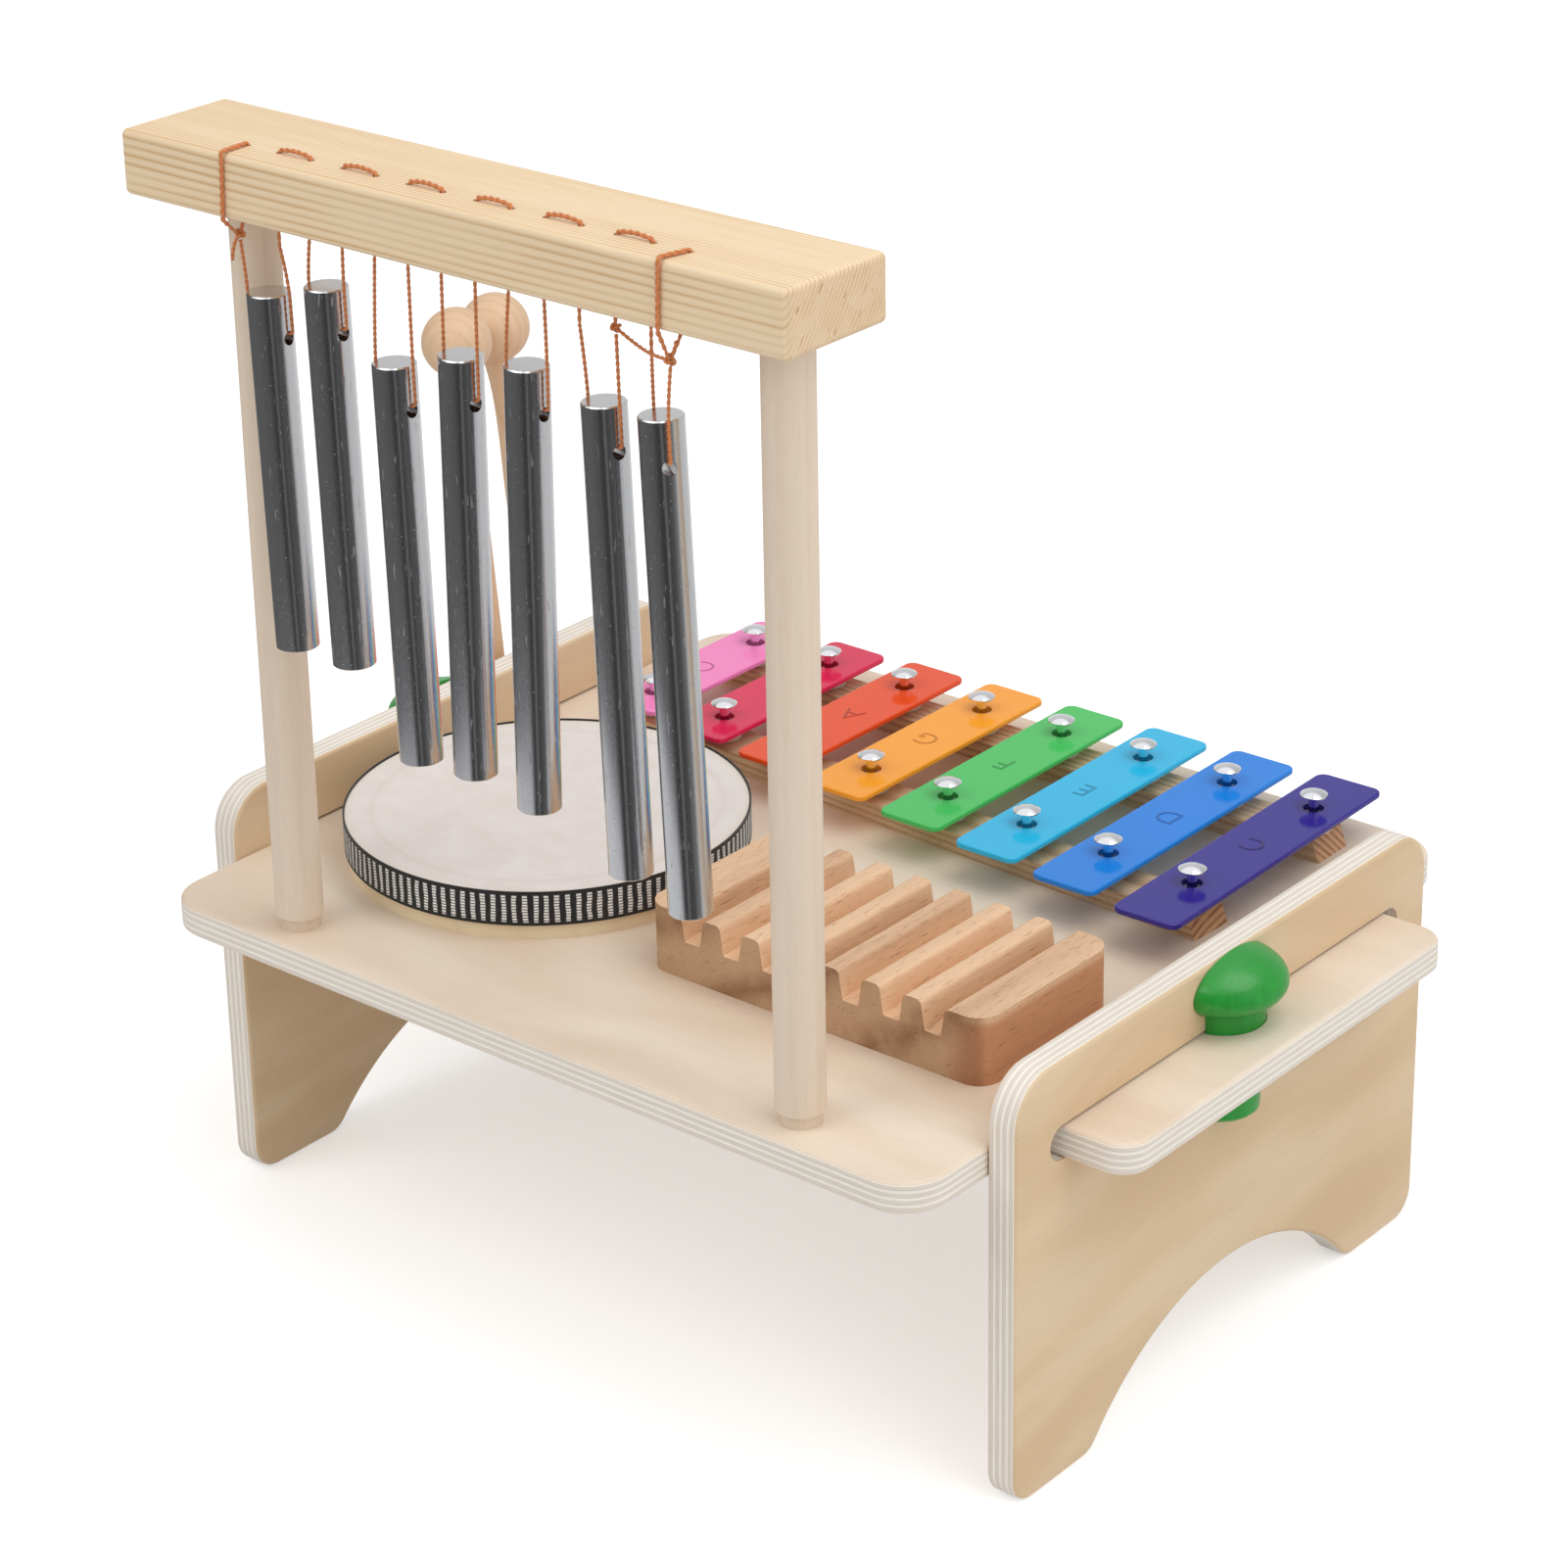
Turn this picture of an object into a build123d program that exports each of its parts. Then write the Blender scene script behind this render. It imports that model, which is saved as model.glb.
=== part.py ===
from build123d import *
import math
import os

# Wooden percussion table: a plywood deck whose tongues pass through two side panels and are locked
# by tapered pegs. It carries a rack of seven hanging chimes, a hand drum, a guiro block,
# an eight-bar xylophone on two rails and two mallets that stand in holes of the left tongue.
# Millimetres. X runs along the table, Y from the chime rack to the xylophone, Z up from the floor.

# Plywood and fasteners
ply_thickness = 12.0
ply_edge_radius = 1.8
cut_overrun = 5.0
screw_radius = 1.9
screw_head_radius = 3.8
screw_head_height = 2.6
screw_gap = 0.1
screw_grip = 6.0

# Side panels
stand_width = 380.0
panel_depth = 253.5
panel_above_deck = 26.0
panel_top_radius = 18.0
panel_foot_radius = 11.0
arch_radius = 106.0
arch_height = 38.5
arch_foot_radius = 10.0
slot_play = 1.2

# Deck
deck_top_height = 137.0
deck_depth = 327.5
deck_corner_radius = 18.0
deck_side_gap = 0.2
tongue_width = 200.0
tongue_reach = 27.0
tongue_corner_radius = 11.0
panel_setback = 39.0

# Locking pegs
peg_inset = 3.3
peg_back_shift = -2.0
peg_neck_radius = 15.8
peg_tip_radius = 14.1
peg_tip_drop = 35.8
peg_tip_rounding = 1.5
peg_head_radius = 23.2
peg_head_middle = 14.8
peg_head_rise = 11.85
peg_head_fall = 11.0
peg_gap = 0.3
peg_flat_gap = 0.25

# Posts and beam of the chime rack
post_diameter = 17.7
post_spacing = 237.5
post_setback = 16.05
post_shift = -1.1
tenon_diameter = 14.8
tenon_gap = 0.05
tenon_show = 5.0
deck_socket_depth = 8.5
beam_socket_depth = 12.0
beam_rise = 278.0
beam_thickness = 23.4
beam_depth = 49.5
beam_left_overhang = 37.3
beam_right_overhang = 20.4
beam_edge_radius = 2.4

# Chimes, from the left: lengths grow by one step from chime to chime
chime_count = 7
chime_diameter = 15.3
chime_pitch = 30.2
chime_row_shift = -7.25
chime_first_length = 129.5
chime_length_step = 7.2
chime_end_chamfer = 0.4
chime_hole_diameter = 5.0
chime_hole_drop = 15.6
chime_drops = (25.9, 18.2, 39.0, 29.9, 27.1, 32.4, 31.8)
chime_shifts = (1.0, -1.0, -1.0, -0.8, -1.5, 2.2, -3.7)
chime_turns = (8.0, -4.0, -2.0, -9.0, 0.0, -14.0, -34.0)
chime_leans = (1.5, 1.25, 1.28, -0.75, -0.86, 1.77, 2.32)

# Cord: it is laced through slanted holes along the front of the beam
cord_diameter = 1.4
cord_gap = 0.15
cord_hole_radius = 1.2
cord_top_setback = 12.0
cord_bottom_setback = 9.4
cord_swing_gap = 0.35
cord_shoulder = 5.0
cord_stitch_height = 0.85
cord_stitch_hump = 1.0
cord_sharp_turn = 45.0
cord_run_share = 0.45
quarter_turn = 90.0
knot_radius = 1.9
left_knot_offset = (-0.8, -3.0, -6.4)
right_knot_offset = (-2.9, -5.0, -10.4)
tie_knot_offset = (0.4, 0.0, -6.6)
left_run_lean = (0.5, -0.9)
right_run_lean = (-2.3, -3.2)
left_tail = ((-2.5, -1.2, -2.8), (-3.0, -1.4, -9.6))
right_tail = ((1.6, 0.5, 3.4), (2.6, 0.0, 6.6))
tie_sag = ((-7.0, 1.2, -0.9), (-18.0, 3.6, 0.6))

# Hand drum
drum_x = -90.2
drum_back_shift = -47.0
drum_height = 19.0
drum_hoop_radius = 75.8
drum_hoop_wall = 7.0
drum_skin_thickness = 0.8
drum_skin_lap = 1.0
drum_skin_rounding = 0.35
drum_band_thickness = 1.5
drum_band_bottom = 6.0
drum_band_proud = 0.6
drum_screw_count = 4

# Guiro block: its side shift is from the middle of the free room between the drum and the right panel
guiro_side_shift = -3.8
guiro_length = 151.5
guiro_depth = 75.2
guiro_height = 26.0
guiro_back_shift = -59.4
guiro_corner_radius = 9.0
guiro_groove_count = 7
guiro_first_groove = 22.1
guiro_last_groove = 21.9
guiro_groove_top_share = 0.582
guiro_groove_floor_share = 0.388
guiro_groove_depth = 11.0
guiro_ridge_radius = 2.2
guiro_groove_fillet = 0.8
guiro_screw_inset = 20.0

# Xylophone: bars are counted from the left, and both rails drift a little along the row
bar_count = 8
bar_last_x = 139.0
bar_pitch = 38.5
bar_width = 28.0
bar_thickness = 2.3
bar_top_rise = 17.0
bar_first_length = 99.5
bar_length_step = 6.2
bar_corner_radius = 4.0
bar_edge_radius = 0.7
bar_hole_diameter = 8.0
bar_first_y = 94.0
bar_last_y = 86.7
bar_skews = (0.0, 0.0, 0.0, 0.0, 0.3, 0.6, 0.6, 1.2)
rail_width = 20.0
rail_height = 8.3
rail_end_bevel = 3.0
rail_left_x = -142.0
rail_right_x = 148.0
front_rail_left_y = 61.1
front_rail_right_y = 48.3
rear_rail_left_y = 123.8
rear_rail_right_y = 129.2
rail_screw_steps = (0.5, 3.5, 6.5)
nail_shaft_radius = 2.0
nail_head_radius = 5.25
nail_head_height = 2.0
nail_head_rim = 0.4
nail_head_clearance = 5.4
nail_depth = 6.8
nail_gap = 0.05
grommet_radius = 7.0
grommet_gap = 0.2
grommet_edge_radius = 0.8

# Mallets, turned in one piece: their holes are placed from the left panel's outer face, and the leans
# are runs outward and backward for each unit of rise
mallet_ball_radius = 14.0
mallet_stick_length = 172.0
mallet_flare_length = 60.0
mallet_flare_radius = 6.4
mallet_middle_radius = 4.1
mallet_tip_radius = 3.4
mallet_tip_rounding = 1.2
mallet_gap = 0.3
mallet_hole_outs = (10.5, 10.3)
mallet_hole_backs = (45.0, 68.0)
mallet_leans_out = (-0.0209, 0.0164)
mallet_leans_back = (-0.1201, -0.0911)
mallet_tip_drops = (17.5, 20.6)

# Places worked out from the sizes above
post_radius = post_diameter / 2
tenon_radius = tenon_diameter / 2
cord_radius = cord_diameter / 2
chime_radius = chime_diameter / 2
panel_outer_x = stand_width / 2
panel_inner_x = panel_outer_x - ply_thickness
panel_height = deck_top_height + panel_above_deck
beam_overhang = max(beam_depth / 2 - post_setback, 0)
deck_front_y = -(deck_depth + beam_overhang) / 2 + beam_overhang
stand_y = deck_front_y + panel_setback + panel_depth / 2
deck_middle_y = deck_front_y + deck_depth / 2
deck_bottom = deck_top_height - ply_thickness
post_y = deck_front_y + post_setback
left_post_x = post_shift - post_spacing / 2
right_post_x = post_shift + post_spacing / 2
beam_bottom = deck_top_height + beam_rise
beam_top = beam_bottom + beam_thickness
beam_front_y = post_y - beam_depth / 2
drum_y = stand_y + drum_back_shift
drum_top = deck_top_height + drum_height
drum_right_x = drum_x + drum_hoop_radius + drum_band_thickness
guiro_left_x = (drum_right_x + panel_inner_x - guiro_length) / 2 + guiro_side_shift
guiro_y = stand_y + guiro_back_shift
rail_top = deck_top_height + rail_height
bar_top = deck_top_height + bar_top_rise
bar_bottom = bar_top - bar_thickness
nail_head_bottom = bar_top + nail_head_clearance
bar_numbers = range(bar_count)
chime_numbers = range(chime_count)


os.makedirs("parts", exist_ok=True)


def finish(piece, name):
    """Label a finished piece and write it under its name."""
    piece.part.label = name
    export_step(piece.part, f"parts/{name}.step")


# Screws that come up through the deck from below: the shank's places and how far it reaches
def ring_points(centre_x, centre_y, radius, count):
    """Points spaced evenly on a circle, the first half a step from +X."""
    step = math.tau / count
    turns = [step * (number + 1 / 2) for number in range(count)]
    return [(centre_x + radius * math.cos(turn), centre_y + radius * math.sin(turn)) for turn in turns]


def rail_y(left_y, right_y, x):
    """Centre line of a rail, which runs a little slanted from end to end."""
    share = (x - rail_left_x) / (rail_right_x - rail_left_x)
    return left_y + (right_y - left_y) * share


def rail_screw_points(left_y, right_y):
    """Three places on a rail's centre line, each midway between two nails."""
    places = [bar_last_x - bar_pitch * step for step in rail_screw_steps]
    return [(x, rail_y(left_y, right_y, x)) for x in places]


drum_screw_circle = drum_hoop_radius - drum_hoop_wall / 2
drum_screw_places = ring_points(drum_x, drum_y, drum_screw_circle, drum_screw_count)
guiro_screw_places = [
    (guiro_left_x + guiro_length / 2 + side_x * (guiro_length / 2 - guiro_screw_inset),
     guiro_y + side_y * (guiro_depth / 2 - guiro_screw_inset))
    for side_x in (-1, 1) for side_y in (-1, 1)
]
rail_screw_places = rail_screw_points(front_rail_left_y + stand_y, front_rail_right_y + stand_y)
rail_screw_places += rail_screw_points(rear_rail_left_y + stand_y, rear_rail_right_y + stand_y)
screw_places = drum_screw_places + guiro_screw_places + rail_screw_places


def screws(places):
    """Countersunk screws, heads flush with the underside of the deck."""
    length = ply_thickness + screw_grip
    with Locations(*[(x, y, deck_bottom + length / 2) for x, y in places]):
        Cylinder(radius=screw_radius, height=length)
    with Locations(*[(x, y, deck_bottom + screw_head_height / 2) for x, y in places]):
        Cone(bottom_radius=screw_head_radius, top_radius=screw_radius, height=screw_head_height)


def screw_holes_in_deck(places):
    """Clearance holes with countersinks, cut from below."""
    with Locations(*[(x, y, deck_bottom + ply_thickness / 2) for x, y in places]):
        Cylinder(radius=screw_radius + screw_gap, height=ply_thickness + 2 * cut_overrun, mode=Mode.SUBTRACT)
    with Locations(*[(x, y, deck_bottom + screw_head_height / 2) for x, y in places]):
        Cone(bottom_radius=screw_head_radius + screw_gap, top_radius=screw_radius + screw_gap,
             height=screw_head_height, mode=Mode.SUBTRACT)


def pilot_holes(places):
    """Blind holes in a piece that stands on the deck, cut on both sides of the deck's top face."""
    with Locations(*[(x, y, deck_top_height) for x, y in places]):
        Cylinder(radius=screw_radius + screw_gap, height=2 * (screw_grip + screw_gap), mode=Mode.SUBTRACT)


# Locking pegs: turned mushrooms with a flat that bears on the panel's outer face
peg_x = panel_outer_x - peg_inset
peg_y = stand_y + peg_back_shift
peg_tip_z = deck_top_height - peg_tip_drop
peg_head_z = deck_top_height + peg_head_middle
peg_neck_share = peg_neck_radius / peg_head_radius
neck_angle = math.degrees(math.acos(peg_neck_share))
peg_neck_rise = peg_head_middle - peg_head_fall * math.sqrt(1 - peg_neck_share ** 2)
peg_taper = (peg_neck_radius - peg_tip_radius) / (peg_neck_rise + peg_tip_drop - peg_tip_rounding)
peg_deck_radius = peg_neck_radius - peg_taper * peg_neck_rise

with BuildPart() as right_locking_peg:
    with BuildSketch(Plane(origin=(peg_x, peg_y, 0), x_dir=(1, 0, 0), z_dir=(0, -1, 0))):
        with BuildLine():
            tip_edge = (peg_tip_radius - peg_tip_rounding, peg_tip_z)
            tip_side = (peg_tip_radius, peg_tip_z + peg_tip_rounding)
            neck = (peg_neck_radius, deck_top_height + peg_neck_rise)
            middle = (0, peg_head_z)
            Polyline((0, peg_tip_z), tip_edge, tip_side, neck)
            EllipticalCenterArc(middle, peg_head_radius, peg_head_fall, -neck_angle, arc_size=neck_angle)
            EllipticalCenterArc(middle, peg_head_radius, peg_head_rise, 0, arc_size=quarter_turn)
            Line((0, peg_head_z + peg_head_rise), (0, peg_tip_z))
        make_face()
    revolve(axis=Axis((peg_x, peg_y, 0), (0, 0, 1)))
    with Locations((panel_outer_x + peg_flat_gap - peg_head_radius, peg_y, deck_top_height)):
        reach = 3 * peg_head_radius
        Box(2 * peg_head_radius, reach, 2 * (peg_tip_drop + peg_head_radius), mode=Mode.SUBTRACT)
finish(right_locking_peg, "right_locking_peg")

with BuildPart() as left_locking_peg:
    mirror(right_locking_peg.part, about=Plane.YZ)
finish(left_locking_peg, "left_locking_peg")

# Mallets: each leans in its own hole of the tongue, its tip a little way below the deck
mallet_length = mallet_ball_radius + mallet_stick_length
mallet_planes = []
for number, drop in enumerate(mallet_tip_drops):
    foot = Vector(-panel_outer_x - mallet_hole_outs[number], stand_y + mallet_hole_backs[number],
                  deck_top_height - ply_thickness / 2)
    rise = Vector(-mallet_leans_out[number], mallet_leans_back[number], 1).normalized()
    ball = foot + rise * (mallet_length - drop)
    mallet_planes.append(Plane(origin=ball, x_dir=(1, 0, 0), z_dir=rise))

mallet_reach = math.sqrt(mallet_ball_radius ** 2 - mallet_flare_radius ** 2)
mallet_slope = (mallet_middle_radius - mallet_tip_radius) / (mallet_stick_length - mallet_flare_length)
mallet_deck_depth = mallet_stick_length - max(mallet_tip_drops) - ply_thickness / 2 - mallet_flare_length
mallet_hole_radius = mallet_middle_radius - mallet_slope * mallet_deck_depth + mallet_gap
mallet_tip_z = -mallet_length

for number, plane in enumerate(mallet_planes):
    with BuildPart() as mallet:
        with BuildSketch(Plane(origin=plane.origin, x_dir=plane.x_dir, z_dir=-plane.y_dir)):
            with BuildLine():
                tip_edge = (mallet_tip_radius - mallet_tip_rounding, mallet_tip_z)
                tip_side = (mallet_tip_radius, mallet_tip_z + mallet_tip_rounding)
                flare_end = (mallet_middle_radius, -(mallet_ball_radius + mallet_flare_length))
                ball_underside = (mallet_flare_radius, -mallet_reach)
                ball_crown = (0, mallet_ball_radius)
                flare_tangents = ((mallet_slope, 1), (mallet_flare_radius, mallet_flare_length / 2))
                Polyline(ball_crown, (0, mallet_tip_z), tip_edge, tip_side, flare_end)
                Spline(flare_end, ball_underside, tangents=flare_tangents)
                ThreePointArc(ball_underside, (mallet_ball_radius, 0), ball_crown)
            make_face()
        revolve(axis=Axis(plane.origin, plane.z_dir))
    finish(mallet, f"mallet_{number + 1}")

# Deck: one plywood board with a tongue at each end
with BuildPart() as deck:
    with BuildSketch(Plane.XY.offset(deck_bottom)) as deck_outline:
        with Locations((0, deck_middle_y)):
            RectangleRounded(2 * (panel_inner_x - deck_side_gap), deck_depth, deck_corner_radius)
        with Locations((0, stand_y)):
            RectangleRounded(2 * (panel_outer_x + tongue_reach), tongue_width, tongue_corner_radius)
    extrude(amount=ply_thickness)
    fillet(deck.faces().sort_by(Axis.Z)[-1].edges(), ply_edge_radius)
    fillet(deck.faces().sort_by(Axis.Z)[0].edges(), ply_edge_radius)
    with Locations((left_post_x, post_y, deck_top_height), (right_post_x, post_y, deck_top_height)):
        Cylinder(radius=tenon_radius + tenon_gap, height=2 * deck_socket_depth, mode=Mode.SUBTRACT)
    for side in (-1, 1):
        with BuildSketch(Plane.XY.offset(deck_bottom - cut_overrun)) as peg_hole:
            with Locations((side * peg_x, peg_y)):
                Circle(peg_deck_radius + peg_gap)
            with Locations((side * (panel_outer_x - peg_head_radius), peg_y)):
                Rectangle(2 * peg_head_radius, 3 * peg_head_radius, mode=Mode.SUBTRACT)
        extrude(amount=ply_thickness + 2 * cut_overrun, mode=Mode.SUBTRACT)
    for plane in mallet_planes:
        with Locations(plane):
            Cylinder(radius=mallet_hole_radius, height=-2 * mallet_tip_z, mode=Mode.SUBTRACT)
    screw_holes_in_deck(screw_places)
finish(deck, "deck")

# Side panels: an arch between two feet, and the slot that the deck's tongue passes through
slot_height = ply_thickness + slot_play
slot_length = tongue_width + slot_height - 2 * (tongue_corner_radius - ply_thickness)

with BuildPart() as right_side_panel:
    with BuildSketch(Plane(origin=(panel_inner_x, stand_y, 0), x_dir=(0, 1, 0), z_dir=(1, 0, 0))) as face:
        with Locations((0, panel_height / 2)):
            Rectangle(panel_depth, panel_height)
        with Locations((0, arch_height - arch_radius)):
            Circle(arch_radius, mode=Mode.SUBTRACT)
        fillet(face.vertices().group_by(Axis.Y)[-1], panel_top_radius)
        feet = face.vertices().group_by(Axis.Y)[0].sort_by(Axis.X)
        fillet((feet[0], feet[-1]), panel_foot_radius)
        arch_ends = face.vertices().group_by(Axis.Y)[0].sort_by(Axis.X)[1:-1]
        fillet(arch_ends, arch_foot_radius)
    extrude(amount=ply_thickness)
    fillet(right_side_panel.faces().sort_by(Axis.X)[-1].outer_wire().edges(), ply_edge_radius)
    fillet(right_side_panel.faces().sort_by(Axis.X)[0].outer_wire().edges(), ply_edge_radius)
    slot_plane = Plane(origin=(panel_inner_x - cut_overrun, stand_y, deck_bottom + slot_height / 2),
                       x_dir=(0, 1, 0), z_dir=(1, 0, 0))
    with BuildSketch(slot_plane) as slot_outline:
        SlotOverall(slot_length, slot_height)
    extrude(amount=ply_thickness + 2 * cut_overrun, mode=Mode.SUBTRACT)
finish(right_side_panel, "right_side_panel")

with BuildPart() as left_side_panel:
    mirror(right_side_panel.part, about=Plane.YZ)
finish(left_side_panel, "left_side_panel")

# Posts: dowels with a thinner tenon at each end
for name, x in (("left_post", left_post_x), ("right_post", right_post_x)):
    with BuildPart() as post:
        with BuildSketch(Plane.XY.offset(deck_top_height - deck_socket_depth)) as tenon_section:
            with Locations((x, post_y)):
                Circle(tenon_radius)
        extrude(amount=deck_socket_depth + beam_rise + beam_socket_depth)
        with BuildSketch(Plane.XY.offset(deck_top_height + tenon_show)) as post_section:
            with Locations((x, post_y)):
                Circle(post_radius)
        extrude(amount=beam_rise - tenon_show)
    finish(post, name)

# Beam: a pine board on the posts, bored for the tenons and for the cord
beam_length = post_spacing + beam_left_overhang + beam_right_overhang
beam_middle_x = left_post_x - beam_left_overhang + beam_length / 2
cord_hole_count = 2 * chime_count
cord_hole_pitch = chime_pitch / 2
cord_first_x = post_shift + chime_row_shift - cord_hole_pitch * (cord_hole_count - 1) / 2
cord_hole_xs = [cord_first_x + cord_hole_pitch * number for number in range(cord_hole_count)]
cord_bottom_y = beam_front_y + cord_bottom_setback
cord_top_y = beam_front_y + cord_top_setback
cord_slope = (cord_top_y - cord_bottom_y) / beam_thickness


def lace_point(x, z):
    """Point on the slanted line of the cord hole at x."""
    return Vector(x, cord_bottom_y + cord_slope * (z - beam_bottom), z)


with BuildPart() as chime_beam:
    with Locations((beam_middle_x, post_y, beam_bottom + beam_thickness / 2)):
        Box(beam_length, beam_depth, beam_thickness)
    fillet(chime_beam.edges(), beam_edge_radius)
    with Locations((left_post_x, post_y, beam_bottom), (right_post_x, post_y, beam_bottom)):
        Cylinder(radius=tenon_radius + tenon_gap, height=2 * beam_socket_depth, mode=Mode.SUBTRACT)
    for x in cord_hole_xs:
        middle = lace_point(x, beam_bottom + beam_thickness / 2)
        with Locations(Plane(origin=middle, x_dir=(1, 0, 0), z_dir=(0, cord_slope, 1))):
            Cylinder(radius=cord_hole_radius, height=beam_thickness + 2 * cut_overrun, mode=Mode.SUBTRACT)
finish(chime_beam, "chime_beam")


# Cord: straight runs joined by arcs, tight where it goes round an edge
def corner_radii(points):
    """One radius for each inner point of a route."""
    radii = []
    for before, corner, after in zip(points, points[1:], points[2:]):
        turn = (corner - before).get_angle(after - corner)
        shorter = min((corner - before).length, (after - corner).length)
        wide = cord_run_share * shorter / math.tan(math.radians(turn) / 2)
        radii.append(cord_diameter if turn > cord_sharp_turn else wide)
    return radii


def cord_tube(name, points):
    """Sweep the cord's section along a route, and print its radii, length and volume."""
    radii = corner_radii(points)
    with BuildLine() as route:
        FilletPolyline(*points, radius=radii)
    path = route.wires()[0]
    with BuildSketch(Plane(origin=points[0], z_dir=points[1] - points[0])) as section:
        Circle(cord_radius)
    sweep(sections=section.sketch, path=path)
    print(name, "radii", [round(radius, 1) for radius in radii], "length", round(path.length, 2))
    return path.length


# Places where the moving strands start: below the beam, or below the knots at the row's ends
left_knot = lace_point(cord_hole_xs[0], beam_bottom) + Vector(*left_knot_offset)
right_knot = lace_point(cord_hole_xs[-1], beam_bottom) + Vector(*right_knot_offset)
tie_knot = lace_point(cord_hole_xs[-3], beam_bottom) + Vector(*tie_knot_offset)
knots = {0: left_knot, cord_hole_count - 3: tie_knot, cord_hole_count - 1: right_knot}

strand_tops = []
for number in chime_numbers:
    holes = (2 * number, 2 * number + 1)
    level = min([knots[hole].Z - knot_radius for hole in holes if hole in knots] + [beam_bottom])
    ends = []
    for hole in holes:
        above = knots[hole] if hole in knots else lace_point(cord_hole_xs[hole], beam_bottom)
        ends.append(Vector(above.X, above.Y, level - cord_swing_gap))
    strand_tops.append(ends)

# Chimes: each hangs by a cord through its cross hole, turned and leaning a little by its own amount
chime_planes = []
for number in chime_numbers:
    pair_x = (cord_hole_xs[2 * number] + cord_hole_xs[2 * number + 1]) / 2
    lean = math.radians(chime_leans[number])
    turn = math.radians(chime_turns[number])
    up = Vector(-math.sin(lean), 0, math.cos(lean))
    level_dir = Vector(math.cos(turn), math.sin(turn), 0)
    across = level_dir - up * level_dir.dot(up)
    hole_z = beam_bottom - chime_drops[number] - chime_hole_drop
    centre = Vector(pair_x + chime_shifts[number], cord_bottom_y, hole_z)
    chime_planes.append(Plane(origin=centre, x_dir=across, z_dir=up))

chime_hole_radius = chime_hole_diameter / 2
cord_seat = chime_hole_radius - cord_radius - cord_gap
strand_side = chime_radius + cord_diameter
strand_shoulder = chime_hole_drop + cord_shoulder

for number in chime_numbers:
    plane = chime_planes[number]
    length = chime_first_length + chime_length_step * number
    with BuildPart() as chime_bar:
        with BuildSketch(plane.offset(chime_hole_drop - length)) as chime_section:
            Circle(chime_radius)
        extrude(amount=length)
        chamfer(chime_bar.edges().filter_by(GeomType.CIRCLE), chime_end_chamfer)
        with Locations(Plane(origin=plane.origin, x_dir=plane.y_dir, z_dir=plane.x_dir)):
            Cylinder(radius=chime_hole_radius, height=2 * (chime_radius + cut_overrun), mode=Mode.SUBTRACT)
    finish(chime_bar, f"chime_bar_{number + 1}")

    left_top, right_top = strand_tops[number]
    local_points = ((-strand_side, 0, strand_shoulder), (-strand_side, 0, cord_seat),
                    (strand_side, 0, cord_seat), (strand_side, 0, strand_shoulder))
    route_points = [left_top] + [plane.from_local_coords(point) for point in local_points] + [right_top]
    with BuildPart() as chime_cord:
        cord_length = cord_tube(f"chime_cord_{number + 1}", route_points)
    tube_volume = math.pi * cord_radius ** 2 * cord_length
    print("  volume", round(chime_cord.part.volume, 2), "of", round(tube_volume, 2))
    pivot = (left_top + right_top) / 2
    swing = (right_top - left_top).normalized()
    seat = plane.from_local_coords((0, 0, cord_seat))
    print("  swing", tuple(round(value, 4) for value in pivot), tuple(round(value, 5) for value in swing))
    print("  tilt", tuple(round(value, 4) for value in seat), tuple(round(value, 5) for value in plane.x_dir))
    finish(chime_cord, f"chime_cord_{number + 1}")


# Lacing: stitches on top of the beam between neighbouring chimes, and a tied loop at each end
def strand_foot(hole):
    """Lower end of the fixed cord in a hole, above the moving strand or in the middle of a knot."""
    if hole in knots:
        return [knots[hole], lace_point(cord_hole_xs[hole], beam_bottom)]
    exit_point = lace_point(cord_hole_xs[hole], beam_bottom)
    level = strand_tops[hole // 2][hole % 2].Z + cord_swing_gap
    if level < beam_bottom - cord_swing_gap:
        return [Vector(exit_point.X, exit_point.Y, level), exit_point]
    return [exit_point]


def stitch_route(hole):
    """Route up through one hole, over the top with a low hump, and down through the next."""
    left = lace_point(cord_hole_xs[hole], beam_top + cord_stitch_height)
    right = lace_point(cord_hole_xs[hole + 1], beam_top + cord_stitch_height)
    hump = (left + right) / 2 + Vector(0, 0, cord_stitch_hump)
    return strand_foot(hole) + [left, hump, right] + strand_foot(hole + 1)[::-1]


def end_loop_route(hole, lean, knot):
    """Route from the knot up through the end hole, over the front edge, down and back to the knot."""
    top = lace_point(cord_hole_xs[hole], beam_top + cord_stitch_height)
    front_y = beam_front_y - cord_stitch_height
    over = Vector(cord_hole_xs[hole] + lean[0], front_y, beam_top + cord_stitch_height)
    under = Vector(cord_hole_xs[hole] + lean[1], front_y, beam_bottom)
    exit_point = lace_point(cord_hole_xs[hole], beam_bottom)
    return [knot, exit_point, top, over, under, knot - Vector(0, 0, knot_radius / 2)]


with BuildPart() as beam_lacing:
    for hole in range(1, cord_hole_count - 2, 2):
        cord_tube(f"stitch {hole}", stitch_route(hole))
    cord_tube("left end loop", end_loop_route(0, left_run_lean, left_knot))
    cord_tube("right end loop", end_loop_route(-1, right_run_lean, right_knot))
    cord_tube("left tail", [left_knot] + [left_knot + Vector(*step) for step in left_tail])
    cord_tube("right tail", [right_knot] + [right_knot + Vector(*step) for step in right_tail])
    cord_tube("tie", [right_knot] + [right_knot + Vector(*step) for step in tie_sag] + [tie_knot])
    with Locations(left_knot, right_knot, tie_knot):
        Sphere(knot_radius)
finish(beam_lacing, "beam_lacing")

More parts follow.
